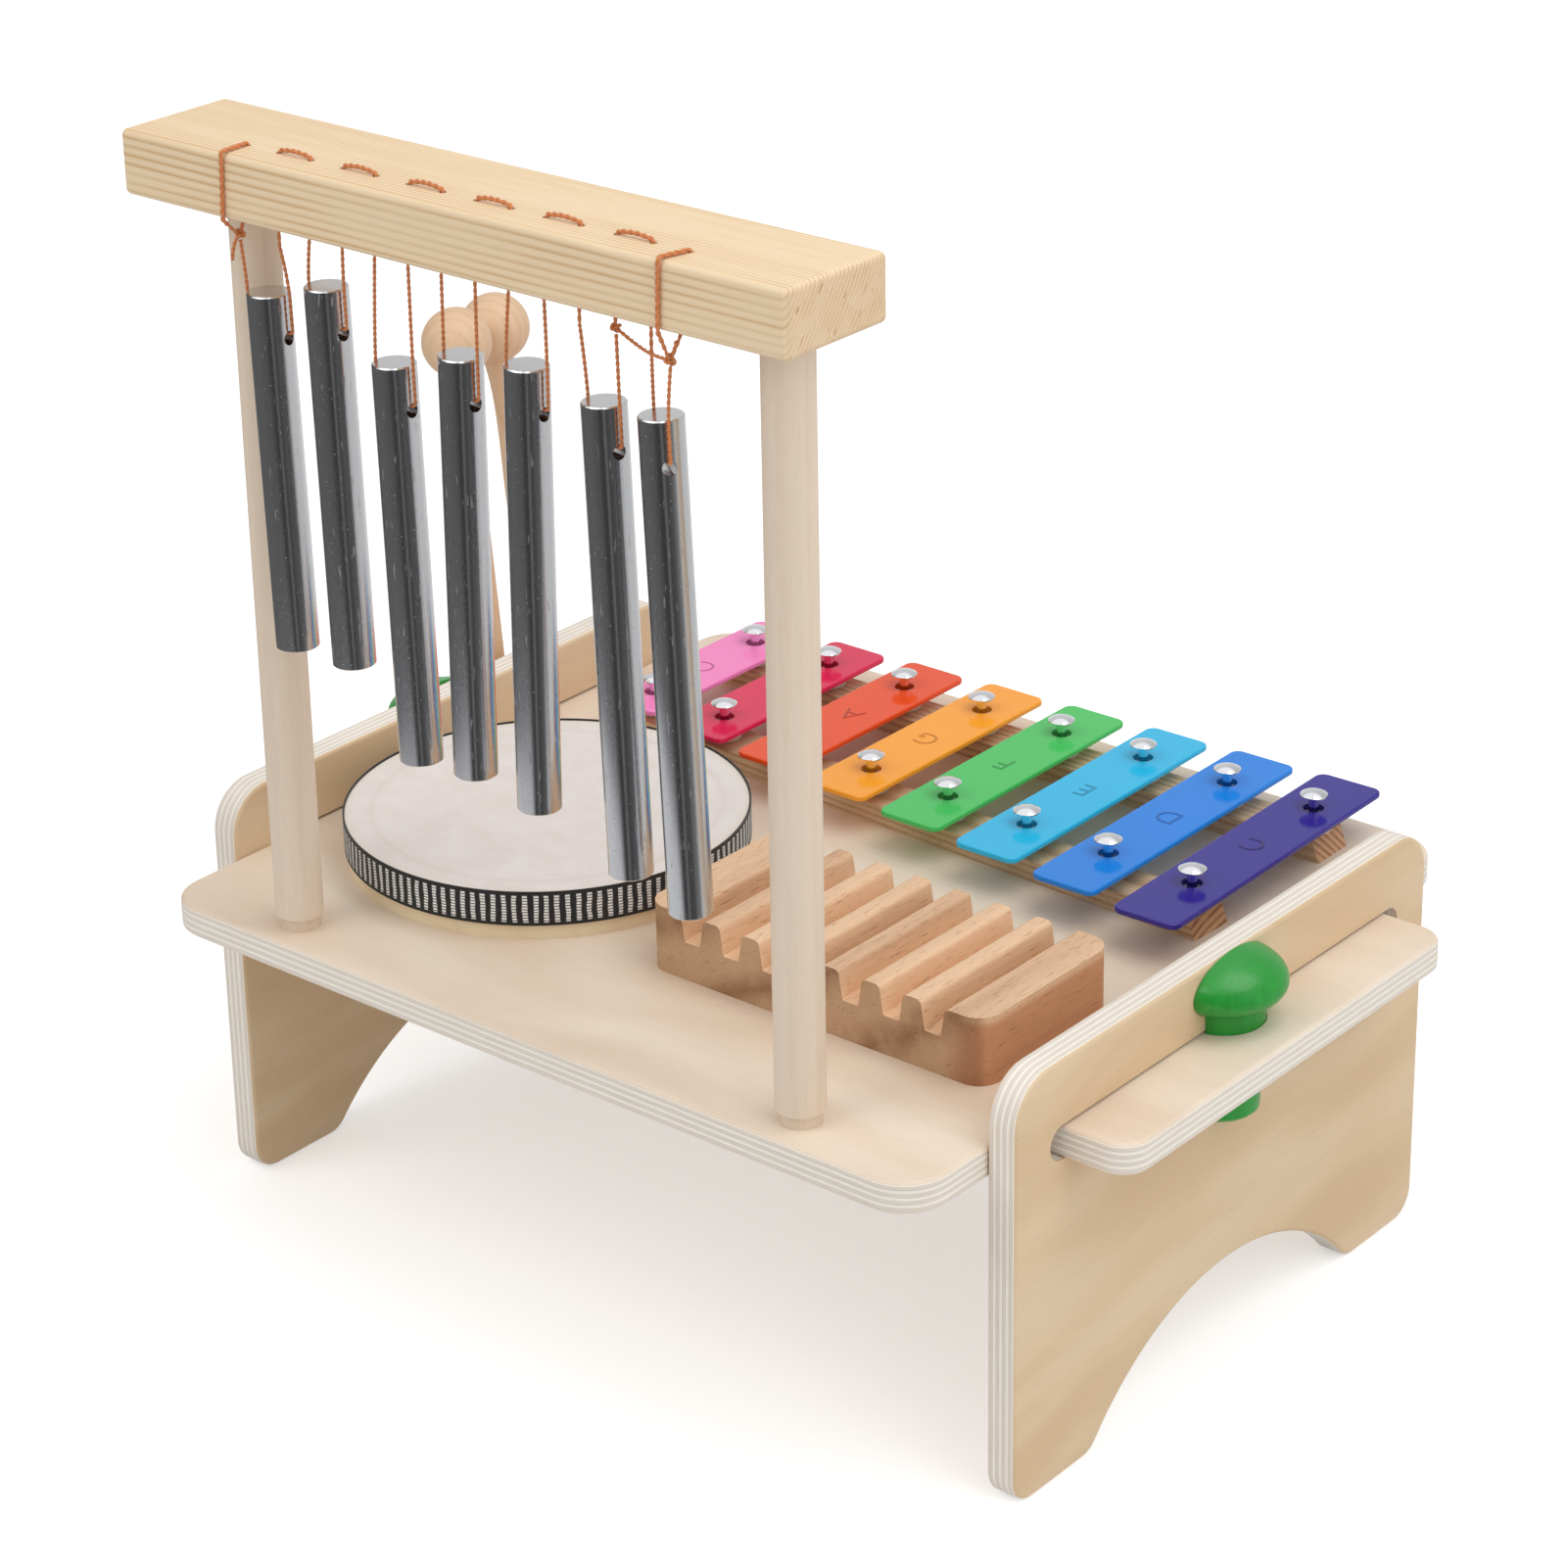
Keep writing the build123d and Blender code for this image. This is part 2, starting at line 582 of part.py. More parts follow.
# Hand drum: an open wooden hoop, a skin stretched over it and a woven trim band
drum_hoop_height = drum_height - drum_skin_thickness
with BuildPart() as drum_shell:
    with BuildSketch(Plane.XY.offset(deck_top_height)) as hoop_section:
        with Locations((drum_x, drum_y)):
            Circle(drum_hoop_radius)
            Circle(drum_hoop_radius - drum_hoop_wall, mode=Mode.SUBTRACT)
    extrude(amount=drum_hoop_height)
    pilot_holes(drum_screw_places)
finish(drum_shell, "drum_shell")

with BuildPart() as drum_head:
    with BuildSketch(Plane.XY.offset(drum_top - drum_skin_thickness)) as skin_section:
        with Locations((drum_x, drum_y)):
            Circle(drum_hoop_radius + drum_skin_lap)
    extrude(amount=drum_skin_thickness)
    fillet(drum_head.faces().sort_by(Axis.Z)[-1].edges(), drum_skin_rounding)
finish(drum_head, "drum_head")

with BuildPart() as drum_trim_band:
    with BuildSketch(Plane.XY.offset(deck_top_height + drum_band_bottom)) as band_section:
        with Locations((drum_x, drum_y)):
            Circle(drum_hoop_radius + drum_band_thickness)
            Circle(drum_hoop_radius, mode=Mode.SUBTRACT)
    extrude(amount=drum_height - drum_band_bottom + drum_band_proud)
    with Locations((drum_x, drum_y, drum_top - drum_skin_thickness)):
        Cylinder(radius=drum_hoop_radius + drum_skin_lap, height=drum_skin_thickness + 2 * drum_band_proud,
                 align=(Align.CENTER, Align.CENTER, Align.MIN), mode=Mode.SUBTRACT)
finish(drum_trim_band, "drum_trim_band")

# Guiro: a block with seven flat-bottomed grooves across it
groove_pitch = (guiro_length - guiro_first_groove - guiro_last_groove) / (guiro_groove_count - 1)
groove_top = groove_pitch * guiro_groove_top_share
groove_floor = groove_pitch * guiro_groove_floor_share
with BuildPart() as guiro_block:
    guiro_corner = (guiro_left_x, guiro_y + guiro_depth / 2, deck_top_height)
    with BuildSketch(Plane(origin=guiro_corner, x_dir=(1, 0, 0), z_dir=(0, -1, 0))) as guiro_profile:
        outline = [(0, 0), (0, guiro_height)]
        groove_z = guiro_height - guiro_groove_depth
        for number in range(guiro_groove_count):
            groove_x = guiro_first_groove + groove_pitch * number
            outline.append((groove_x - groove_top / 2, guiro_height))
            outline.append((groove_x - groove_floor / 2, groove_z))
            outline.append((groove_x + groove_floor / 2, groove_z))
            outline.append((groove_x + groove_top / 2, guiro_height))
        outline += [(guiro_length, guiro_height), (guiro_length, 0)]
        with BuildLine():
            Polyline(*outline, close=True)
        make_face()
        rows = guiro_profile.vertices().group_by(Axis.Y)
        fillet(rows[1], guiro_groove_fillet)
        fillet(guiro_profile.vertices().group_by(Axis.Y)[-1].sort_by(Axis.X)[1:-1], guiro_ridge_radius)
    extrude(amount=guiro_depth)
    uprights = guiro_block.edges().filter_by(Axis.Z).group_by(Axis.X)
    fillet(uprights[0] + uprights[-1], guiro_corner_radius)
    pilot_holes(guiro_screw_places)
finish(guiro_block, "guiro_block")

# Xylophone rails, nails and rubber grommets
bar_xs = [bar_last_x - bar_pitch * (bar_count - 1 - number) for number in bar_numbers]
rail_lines = {
    "front": (front_rail_left_y + stand_y, front_rail_right_y + stand_y),
    "rear": (rear_rail_left_y + stand_y, rear_rail_right_y + stand_y),
}
nail_places = {name: [(x, rail_y(*line, x)) for x in bar_xs] for name, line in rail_lines.items()}
rail_length = rail_right_x - rail_left_x
rail_middle_x = (rail_left_x + rail_right_x) / 2

for name, line in rail_lines.items():
    along = Vector(rail_length, line[1] - line[0], 0)
    sideways = along.cross(Vector(0, 0, -1))
    side_plane = Plane(origin=(rail_middle_x, sum(line) / 2, deck_top_height), x_dir=along, z_dir=sideways)
    with BuildPart() as rail:
        with BuildSketch(side_plane):
            half = along.length / 2
            with BuildLine():
                Polyline((-half, 0), (half, 0), (half - rail_end_bevel, -rail_height),
                         (rail_end_bevel - half, -rail_height), close=True)
            make_face()
        extrude(amount=rail_width / 2, both=True)
        with Locations(*[(x, y, rail_top) for x, y in nail_places[name]]):
            Cylinder(radius=nail_shaft_radius + nail_gap, height=2 * nail_depth, mode=Mode.SUBTRACT)
        pilot_holes(rail_screw_points(*line))
    finish(rail, f"{name}_rail")

with BuildPart() as nail:
    with BuildSketch(Plane.XZ) as nail_profile:
        with BuildLine() as nail_outline:
            head_top = nail_head_bottom + nail_head_height
            rim_top = nail_head_bottom + nail_head_rim
            tip = rail_top - nail_depth
            Polyline((0, head_top), (0, tip), (nail_shaft_radius, tip), (nail_shaft_radius, nail_head_bottom),
                     (nail_head_radius, nail_head_bottom), (nail_head_radius, rim_top))
            dome = nail_head_height - nail_head_rim
            dome_radius = (nail_head_radius ** 2 + dome ** 2) / (2 * dome)
            RadiusArc((nail_head_radius, rim_top), (0, head_top), -dome_radius)
        make_face()
    revolve(axis=Axis.Z)

with BuildPart() as grommet:
    with BuildSketch(Plane.XY.offset(rail_top)) as grommet_section:
        Circle(grommet_radius)
        Circle(bar_hole_diameter / 2 + grommet_gap, mode=Mode.SUBTRACT)
    extrude(amount=bar_bottom - rail_top)
    outer_wall = grommet.faces().filter_by(GeomType.CYLINDER).sort_by(SortBy.AREA)[-1]
    fillet(outer_wall.edges().filter_by(GeomType.CIRCLE), grommet_edge_radius)

for name in rail_lines:
    with BuildPart() as bar_nails:
        with Locations(*[(x, y, 0) for x, y in nail_places[name]]):
            add(nail.part)
    finish(bar_nails, f"{name}_bar_nails")

with BuildPart() as bar_grommets:
    with Locations(*[(x, y, 0) for x, y in nail_places["front"] + nail_places["rear"]]):
        add(grommet.part)
finish(bar_grommets, "bar_grommets")

# Xylophone bars: enamelled metal plates, each with two loose holes round its nails
for number in bar_numbers:
    share = number / (bar_count - 1)
    bar_y = stand_y + bar_first_y + (bar_last_y - bar_first_y) * share
    bar_length = bar_first_length + bar_length_step * number
    skew = math.radians(bar_skews[number])
    across = (math.cos(skew), math.sin(skew), 0)
    bar_plane = Plane(origin=(bar_xs[number], bar_y, bar_bottom), x_dir=across, z_dir=(0, 0, 1))
    with BuildPart() as xylophone_bar:
        with BuildSketch(bar_plane) as bar_section:
            RectangleRounded(bar_width, bar_length, bar_corner_radius)
        extrude(amount=bar_thickness)
        fillet(xylophone_bar.faces().sort_by(Axis.Z)[-1].edges(), bar_edge_radius)
        fillet(xylophone_bar.faces().sort_by(Axis.Z)[0].edges(), bar_edge_radius)
        with Locations(*[(*nail_places[name][number], bar_bottom) for name in rail_lines]):
            hole_height = 2 * (bar_thickness + cut_overrun)
            Cylinder(radius=bar_hole_diameter / 2, height=hole_height, mode=Mode.SUBTRACT)
    finish(xylophone_bar, f"xylophone_bar_{number + 1}")

# Screws, grouped by what they hold
screw_groups = {"drum": drum_screw_places, "guiro": guiro_screw_places, "rail": rail_screw_places}
for held, places in screw_groups.items():
    with BuildPart() as screw_group:
        screws(places)
    finish(screw_group, f"{held}_screws")
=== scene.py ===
import math

import bmesh
import bpy
from mathutils import Matrix, Vector


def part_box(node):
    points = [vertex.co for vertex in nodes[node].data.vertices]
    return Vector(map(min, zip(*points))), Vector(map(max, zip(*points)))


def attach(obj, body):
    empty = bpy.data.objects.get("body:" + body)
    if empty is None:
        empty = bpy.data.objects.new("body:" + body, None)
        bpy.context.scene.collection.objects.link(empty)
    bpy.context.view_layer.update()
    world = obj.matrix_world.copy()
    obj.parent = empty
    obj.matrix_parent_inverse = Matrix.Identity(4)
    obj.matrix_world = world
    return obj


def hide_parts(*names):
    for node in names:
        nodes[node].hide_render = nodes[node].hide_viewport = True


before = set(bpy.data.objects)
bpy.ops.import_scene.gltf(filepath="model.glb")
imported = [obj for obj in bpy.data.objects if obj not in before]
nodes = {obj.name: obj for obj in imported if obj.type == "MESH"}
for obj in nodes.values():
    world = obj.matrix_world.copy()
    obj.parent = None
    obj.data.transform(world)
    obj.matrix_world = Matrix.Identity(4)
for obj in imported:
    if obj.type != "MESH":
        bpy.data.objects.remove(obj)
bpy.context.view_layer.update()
mm = 0.001
frame_digits = 3
axis_x = 0
axis_y = 1
axis_z = 2
plain_white = (1.0, 1.0, 1.0, 1.0)


def box_mm(name):
    """The low and the high corner of a piece in millimetres, without single precision's last digits."""
    return [tuple(round(value / mm, frame_digits) for value in corner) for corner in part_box(name)]


def add_object(name, data):
    """A new object with this data, in the scene."""
    made = bpy.data.objects.new(name, data)
    bpy.context.scene.collection.objects.link(made)
    return made


def curve_mesh(curve):
    """The mesh that a curve or text makes; the curve itself is removed."""
    holder = add_object(curve.name, curve)
    bpy.context.view_layer.update()
    mesh = bpy.data.meshes.new_from_object(holder.evaluated_get(bpy.context.evaluated_depsgraph_get()))
    bpy.data.objects.remove(holder)
    bpy.data.curves.remove(curve)
    return mesh


# Camera: the photograph's viewpoint, for a square frame, with places in millimetres
picture_side = 1601
sensor_side = 36.0
focal_pixels = 4334.0
axis_row = 620.0
view_azimuth = math.radians(39.907)
view_elevation = math.radians(22.506)
view_roll = math.radians(-1.01)
view_centre = Vector((0.0, 6.3, 237.0))
view_distance = 1556.1
view_side_step = -8.39
view_up_step = 6.04
clip_near = 50.0
clip_far = 50000.0


def add_camera():
    """The camera, turned by its roll round the line of sight and moved sideways and up from it."""
    forward = Vector((-math.sin(view_azimuth) * math.cos(view_elevation),
                      math.cos(view_azimuth) * math.cos(view_elevation), -math.sin(view_elevation)))
    level = Vector((math.cos(view_azimuth), math.sin(view_azimuth), 0))
    upright = level.cross(forward)
    right = level * math.cos(view_roll) + upright * math.sin(view_roll)
    up = upright * math.cos(view_roll) - level * math.sin(view_roll)
    place = view_centre - forward * view_distance + level * view_side_step + upright * view_up_step
    camera = add_object("camera", bpy.data.cameras.new("camera"))
    turn = Matrix((right, up, -forward)).transposed().to_4x4()
    camera.matrix_world = Matrix.Translation(place * mm) @ turn
    camera.data.sensor_width = sensor_side
    camera.data.lens = focal_pixels * sensor_side / picture_side
    camera.data.shift_y = (axis_row - picture_side / 2) / picture_side
    camera.data.clip_start = clip_near * mm
    camera.data.clip_end = clip_far * mm
    bpy.context.scene.camera = camera


add_camera()


# Node trees: tones are pairs of a place and a value, steps are noise steps in a metre, relief is in mm
def linear(red, green, blue):
    """A colour from 0-255 display values to linear, with alpha."""
    values = [value / 255 for value in (red, green, blue)]
    return tuple(v / 12.92 if v <= 0.04045 else ((v + 0.055) / 1.055) ** 2.4 for v in values) + (1.0,)


class Tree:
    """The node tree of a material or the world, with short ways to add and join nodes."""

    def __init__(self, owner):
        owner.use_nodes = True
        self.owner = owner
        self.nodes = owner.node_tree.nodes
        self.links = owner.node_tree.links
        self.shader = self.nodes.get("Principled BSDF")
        self.output = self.nodes.get("Material Output")

    def put(self, socket, value):
        if isinstance(value, bpy.types.NodeSocket):
            self.links.new(value, socket)
        else:
            socket.default_value = value

    def node(self, kind, *inputs, **settings):
        made = self.nodes.new(kind)
        for key, value in settings.items():
            setattr(made, key, value)
        for number, value in enumerate(inputs):
            self.put(made.inputs[number], value)
        return made

    def math(self, operation, *inputs, clamp=False):
        return self.node("ShaderNodeMath", *inputs, operation=operation, use_clamp=clamp).outputs[0]

    def plus(self, first, second, clamp=False):
        return self.math("ADD", first, second, clamp=clamp)

    def minus(self, first, second):
        return self.math("SUBTRACT", first, second)

    def times(self, first, second):
        return self.math("MULTIPLY", first, second)

    def swing(self, value, amount):
        """A value from 0 to 1 as one from minus half to plus half of the amount."""
        return self.times(self.minus(value, 0.5), amount)

    def vector(self, operation, *inputs):
        made = self.node("ShaderNodeVectorMath", *inputs, operation=operation)
        return made.outputs["Value"] if operation in ("LENGTH", "DOT_PRODUCT") else made.outputs[0]

    def place(self):
        return self.node("ShaderNodeTexCoord").outputs["Object"]

    def axis(self, vector, number):
        return self.node("ShaderNodeSeparateXYZ", vector).outputs[number]

    def noise(self, vector, steps, detail=2.0, rough=0.5, output="Fac"):
        """Noise with its own steps on each axis, or the same on all."""
        stretch = steps if isinstance(steps, tuple) else (steps, steps, steps)
        made = self.node("ShaderNodeTexNoise", noise_dimensions="3D")
        self.put(made.inputs["Vector"], self.vector("MULTIPLY", vector, stretch))
        made.inputs["Scale"].default_value = 1.0
        made.inputs["Detail"].default_value = detail
        made.inputs["Roughness"].default_value = rough
        return made.outputs[output]

    def wander(self, vector, steps, reach, detail=2.0):
        """The places moved about by noise, by up to half the reach on each axis."""
        drift = self.vector("SUBTRACT", self.noise(vector, steps, detail, output="Color"), (0.5, 0.5, 0.5))
        return self.vector("ADD", vector, self.vector("MULTIPLY", drift, (reach, reach, reach)))

    def ramp(self, value, *tones, smooth=False):
        made = self.node("ShaderNodeValToRGB", value)
        made.color_ramp.interpolation = "EASE" if smooth else "LINEAR"
        elements = made.color_ramp.elements
        while len(elements) < len(tones):
            elements.new(0.5)
        for element, (position, tone) in zip(elements, tones):
            element.position = position
            element.color = (tone, tone, tone, 1.0)
        return made.outputs[0]

    def spread(self, value, start, end, low=0.0, high=1.0, kind="LINEAR"):
        """The value's way from start to end, as one from low to high."""
        made = self.node("ShaderNodeMapRange", value, start, end, low, high, interpolation_type=kind)
        return made.outputs[0]

    def mix(self, share, first, second, blend="MIX"):
        made = self.node("ShaderNodeMix", data_type="RGBA", blend_type=blend)
        self.put(made.inputs["Factor"], share)
        colours = [socket for socket in made.inputs if socket.type == "RGBA"]
        self.put(colours[0], first)
        self.put(colours[1], second)
        return [socket for socket in made.outputs if socket.type == "RGBA"][0]

    def tinted(self, colour, tint):
        return self.mix(1.0, colour, (*tint, 1.0), "MULTIPLY")

    def shown(self):
        """1 for what the camera sees, also in glossy and clear surfaces, and 0 for other light."""
        path = self.node("ShaderNodeLightPath")
        seen = self.math("MAXIMUM", path.outputs["Is Camera Ray"], path.outputs["Is Glossy Ray"])
        return self.math("MAXIMUM", seen, path.outputs["Is Transmission Ray"])

    def bump(self, height, distance, strength):
        made = self.node("ShaderNodeBump")
        self.put(made.inputs["Height"], height)
        made.inputs["Distance"].default_value = distance * mm
        made.inputs["Strength"].default_value = strength
        self.links.new(made.outputs[0], self.shader.inputs["Normal"])

    def finish(self, colour, rough, **fixed):
        """The material with its colour, its roughness and the fixed values of other sockets."""
        self.put(self.shader.inputs["Base Color"], colour)
        self.put(self.shader.inputs["Roughness"], rough)
        for name, value in fixed.items():
            self.shader.inputs[fixed_sockets[name]].default_value = value
        return self.owner


fixed_sockets = {
    "metallic": "Metallic",
    "specular": "Specular IOR Level",
    "sheen": "Sheen Weight",
    "sheen_rough": "Sheen Roughness",
}


def material_tree(name):
    return Tree(bpy.data.materials.new(name))


def scaled(grain, along, across):
    """Values for three axes: one along the grain and another across it."""
    return tuple(along if number == grain else across for number in range(3))


# Timber
wander_steps = (3.0, 26.0)
ring_fade_steps = (9.0, 140.0)
fibre_steps = (45.0, 1400.0)
dash_steps = (130.0, 2100.0)
patch_steps = (7.0, 32.0)
end_dash_steps = (170.0, 1250.0)
end_tones = ((0.55, 0.0), (0.90, 1.0))
dash_tones = ((0.64, 0.0), (0.70, 1.0))
end_dash_tones = ((0.665, 0.0), (0.72, 1.0))
ring_border_tone = 0.25
ring_pale_from = 0.12
ring_rise = 0.25
ring_rise_tone = 0.12
ring_peak = 0.08
ring_fade_from = 0.36
ring_fade_to = 0.62
brown_mark_shares = (0.74, 0.52, 0.36)
dash_depth = 0.5
wood_relief = 0.12
wood_gloss_swing = 0.12


def wood(name, light, dark, grain, pith, ring, ring_share, warp=0.004, pores=0.25, fibre=0.12,
         tint=0.10, rough=0.56, line=0.80, fade=0.4, end_tint=(0.93, 0.90, 0.87), end_rings=0.6,
         end_dashes=0.0, dash_lie=(0.0, 1.0, 0.0), dark_zone=None):
    """Solid timber: year rings round a pith line, fibres and pores along the grain, duller end grain.

    Pith, ring and warp are in metres. So are the ranges of X and Z of a darker, browner zone, if any, which
    grows towards higher X and lower Z.
    """
    tree = material_tree(name)
    place = tree.place()
    normal = tree.node("ShaderNodeTexCoord").outputs["Normal"]
    end = tree.ramp(tree.math("ABSOLUTE", tree.axis(normal, grain)), *end_tones, smooth=True)

    moved = tree.wander(place, scaled(grain, *wander_steps), warp)
    across = tree.vector("MULTIPLY", tree.vector("SUBTRACT", moved, pith), scaled(grain, 0.0, 1.0))
    turn = tree.math("FRACT", tree.math("DIVIDE", tree.vector("LENGTH", across), ring))
    rings = tree.ramp(turn, (0.0, ring_border_tone), (ring_pale_from, 0.0),
                      (line - ring_rise, ring_rise_tone), (line + ring_peak, 1.0), (1.0, ring_border_tone))
    strength = tree.noise(place, scaled(grain, *ring_fade_steps))
    strength = tree.ramp(strength, (ring_fade_from, 1.0 - fade), (ring_fade_to, 1.0), smooth=True)
    rings = tree.times(tree.times(rings, strength), tree.ramp(end, (0.0, 1.0), (1.0, end_rings)))

    fibres = tree.noise(place, scaled(grain, *fibre_steps), detail=3.0, rough=0.6)
    dashes = tree.ramp(tree.noise(place, scaled(grain, *dash_steps), detail=1.0), *dash_tones)
    patches = tree.noise(place, scaled(grain, *patch_steps))
    shade = tree.plus(tree.times(rings, ring_share), tree.times(dashes, pores / 2))
    shade = tree.plus(shade, tree.swing(fibres, fibre * 2))
    shade = tree.plus(shade, tree.swing(patches, tint * 2), clamp=True)
    colour = tree.mix(shade, light, dark)

    if end_dashes:
        lie = Vector(dash_lie).normalized()
        aside = Vector(scaled(grain, 1.0, 0.0)).cross(lie)
        spans = [tree.times(tree.vector("DOT_PRODUCT", place, tuple(direction)), steps)
                 for direction, steps in zip((lie, aside), end_dash_steps)]
        end_place = tree.node("ShaderNodeCombineXYZ", *spans).outputs[0]
        marks = tree.ramp(tree.noise(end_place, steps=1.0, detail=1.0), *end_dash_tones)
        brown_mark = tuple(value * share for value, share in zip(dark, brown_mark_shares))
        colour = tree.mix(tree.times(tree.times(marks, end), end_dashes), colour, (*brown_mark, 1.0))
    # A darker, browner tint that grows towards higher X and lower Z
    if dark_zone:
        dark_zone_x, dark_zone_z, dark_zone_tint = dark_zone
        beyond = tree.spread(tree.axis(moved, axis_x), *dark_zone_x, kind="SMOOTHSTEP")
        under = tree.spread(tree.axis(place, axis_z), *dark_zone_z, kind="SMOOTHSTEP")
        colour = tree.mix(tree.times(beyond, under), colour, tree.tinted(colour, dark_zone_tint))
    colour = tree.mix(end, colour, tree.tinted(colour, end_tint))
    tree.bump(tree.minus(fibres, tree.times(dashes, dash_depth)), wood_relief, strength=0.5)
    return tree.finish(colour, tree.plus(rough, tree.swing(fibres, wood_gloss_swing)))


# Plywood: its turns are pairs of a pale and a dark ply
ply_turns = 4.5
ply_waver = 0.022
ply_waver_steps = 60.0
ply_tones = ((0.0, 0.7), (0.05, 0.0), (0.46, 0.0), (0.51, 0.9), (0.57, 0.45), (0.93, 0.40), (1.0, 0.8))
veneer_share = 0.075
edge_streak_steps = (2600.0, 110.0)
figure_steps = (6.0, 30.0, 12.0)
figure_tones = ((0.30, 0.0), (0.70, 1.0))
figure_wander_steps = 9.0
figure_wander = 0.05
fine_steps = (40.0, 700.0, 60.0)
fine_tones = ((0.30, 0.88), (0.5, 0.98), (0.72, 1.0))
fine_share = 0.3
pore_steps = (220.0, 2200.0, 60.0)
pore_tones = ((0.70, 1.0), (0.75, 0.90))
ply_relief = 0.07
ply_relief_share = 0.6
ply_rough = 0.46
ply_rough_more = 0.12


def sheet_steps(grain, axis, along, across, through):
    """Noise steps of a sheet: along its grain, across it and through its thickness."""
    steps = list(scaled(grain, along, across))
    steps[axis] = through
    return tuple(steps)


def plywood(name, face_light, face_dark, axis, first_face, last_face, grain):
    """Birch plywood: sanded face veneers, and thin plies that show on every edge."""
    tree = material_tree(name)
    place = tree.place()
    above = tree.minus(tree.axis(place, axis), first_face * mm)
    depth = tree.math("DIVIDE", above, (last_face - first_face) * mm)
    waver = tree.swing(tree.noise(place, ply_waver_steps), ply_waver)
    plies = tree.ramp(tree.math("FRACT", tree.times(tree.plus(depth, waver), ply_turns)), *ply_tones)
    inside = tree.times(tree.math("GREATER_THAN", depth, veneer_share),
                        tree.math("LESS_THAN", depth, 1 - veneer_share))
    streak = tree.noise(place, scaled(axis, *edge_streak_steps), rough=0.6)
    edge_light = tree.mix(streak, linear(252, 248, 241), linear(240, 230, 215))
    edge_dark = tree.mix(streak, linear(214, 200, 184), linear(184, 166, 148))

    moved = tree.wander(place, figure_wander_steps, figure_wander, detail=1.0)
    figure = tree.noise(moved, sheet_steps(grain, axis, *figure_steps))
    face = tree.mix(tree.ramp(figure, *figure_tones, smooth=True), face_light, face_dark)
    fine = tree.noise(place, sheet_steps(grain, axis, *fine_steps), detail=3.0, rough=0.6)
    face = tree.mix(fine_share, face, tree.ramp(fine, *fine_tones), "MULTIPLY")
    pores = tree.noise(place, sheet_steps(grain, axis, *pore_steps), detail=1.0)
    face = tree.mix(1.0, face, tree.ramp(pores, *pore_tones), "MULTIPLY")

    colour = tree.mix(inside, face, tree.mix(plies, edge_light, edge_dark))
    relief = tree.times(tree.times(plies, inside), ply_relief_share)
    tree.bump(tree.plus(fine, relief), ply_relief, strength=0.5)
    return tree.finish(colour, tree.plus(ply_rough, tree.times(fine, ply_rough_more)))


# Metal
pit_cells = 420.0
pit_tones = ((0.06, 1.0), (0.13, 0.0))
pitless_share = 0.55
scratch_steps = (950.0, 950.0, 120.0)
scratch_tones = ((0.69, 0.0), (0.73, 1.0))
scratch_share = 0.7
dull_steps = (2600.0, 2600.0, 900.0)
dull_tones = ((0.45, 0.0), (0.7, 1.0))
dull_rough = 0.10
mark_depth = 1.5
metal_relief = 0.02


def metal(name, colour, rough, streak, steps, scratches=0.0):
    """Polished metal with faint polishing streaks, a dull grain, pits and a few short scratches."""
    tree = material_tree(name)
    place = tree.place()
    lines = tree.noise(place, steps, detail=3.0, rough=0.6)
    gloss = tree.plus(rough, tree.times(lines, streak))
    height = lines
    if scratches:
        cells = tree.node("ShaderNodeTexVoronoi")
        tree.put(cells.inputs["Vector"], place)
        cells.inputs["Scale"].default_value = pit_cells
        chosen = tree.math("GREATER_THAN", tree.axis(cells.outputs["Color"], axis_x), pitless_share)
        pits = tree.times(tree.ramp(cells.outputs["Distance"], *pit_tones), chosen)
        scores = tree.ramp(tree.noise(place, scratch_steps, detail=1.0), *scratch_tones)
        marks = tree.math("MAXIMUM", pits, tree.times(scores, scratch_share))
        grainy = tree.ramp(tree.noise(place, dull_steps, rough=0.7), *dull_tones)
        gloss = tree.plus(gloss, tree.times(grainy, dull_rough))
        gloss = tree.plus(gloss, tree.times(marks, scratches), clamp=True)
        height = tree.minus(lines, tree.times(marks, mark_depth))
    tree.bump(height, metal_relief, strength=0.35)
    return tree.finish(colour, gloss, metallic=1.0)


# Paint
peel_steps = 420.0
enamel_cloud_steps = 28.0
enamel_cloud_share = 0.35
enamel_relief = 0.04
enamel_rough = 0.11
enamel_rough_more = 0.06
paint_grain_steps = (60.0, 620.0)
paint_grain_tones = ((0.35, 0.0), (0.8, 0.7))
paint_cloud_steps = 60.0
paint_cloud_share = 0.3
paint_relief = 0.15
paint_rough = 0.24
paint_rough_more = 0.10


def enamel(name, colour, deep):
    """Thick glossy paint on metal: even colour with a faint orange-peel surface."""
    tree = material_tree(name)
    place = tree.place()
    cloud = tree.noise(place, enamel_cloud_steps)
    shade = tree.mix(tree.times(cloud, enamel_cloud_share), colour, deep)
    tree.bump(tree.noise(place, peel_steps), enamel_relief, strength=0.25)
    gloss = tree.plus(enamel_rough, tree.times(cloud, enamel_rough_more))
    return tree.finish(shade, gloss, specular=0.42)


def painted_wood(name, colour, deep, grain):
    """Satin paint through which a little of the turned wood's grain shows."""
    tree = material_tree(name)
    place = tree.place()
    fibres = tree.noise(place, scaled(grain, *paint_grain_steps), detail=3.0, rough=0.6)
    shade = tree.mix(tree.ramp(fibres, *paint_grain_tones), colour, deep)
    shade = tree.mix(tree.times(tree.noise(place, paint_cloud_steps), paint_cloud_share), shade, deep)
    tree.bump(fibres, paint_relief, strength=0.25)
    return tree.finish(shade, tree.plus(paint_rough, tree.times(fibres, paint_rough_more)))


# Cord and rubber
hair_steps = (3200.0, 3200.0, 1500.0)
hair_tones = ((0.35, 0.0), (0.65, 1.0))
hair_relief = 0.06
cord_patch_steps = 130.0
cord_patch_share = 0.4
dust_steps = 500.0
dust_relief = 0.06


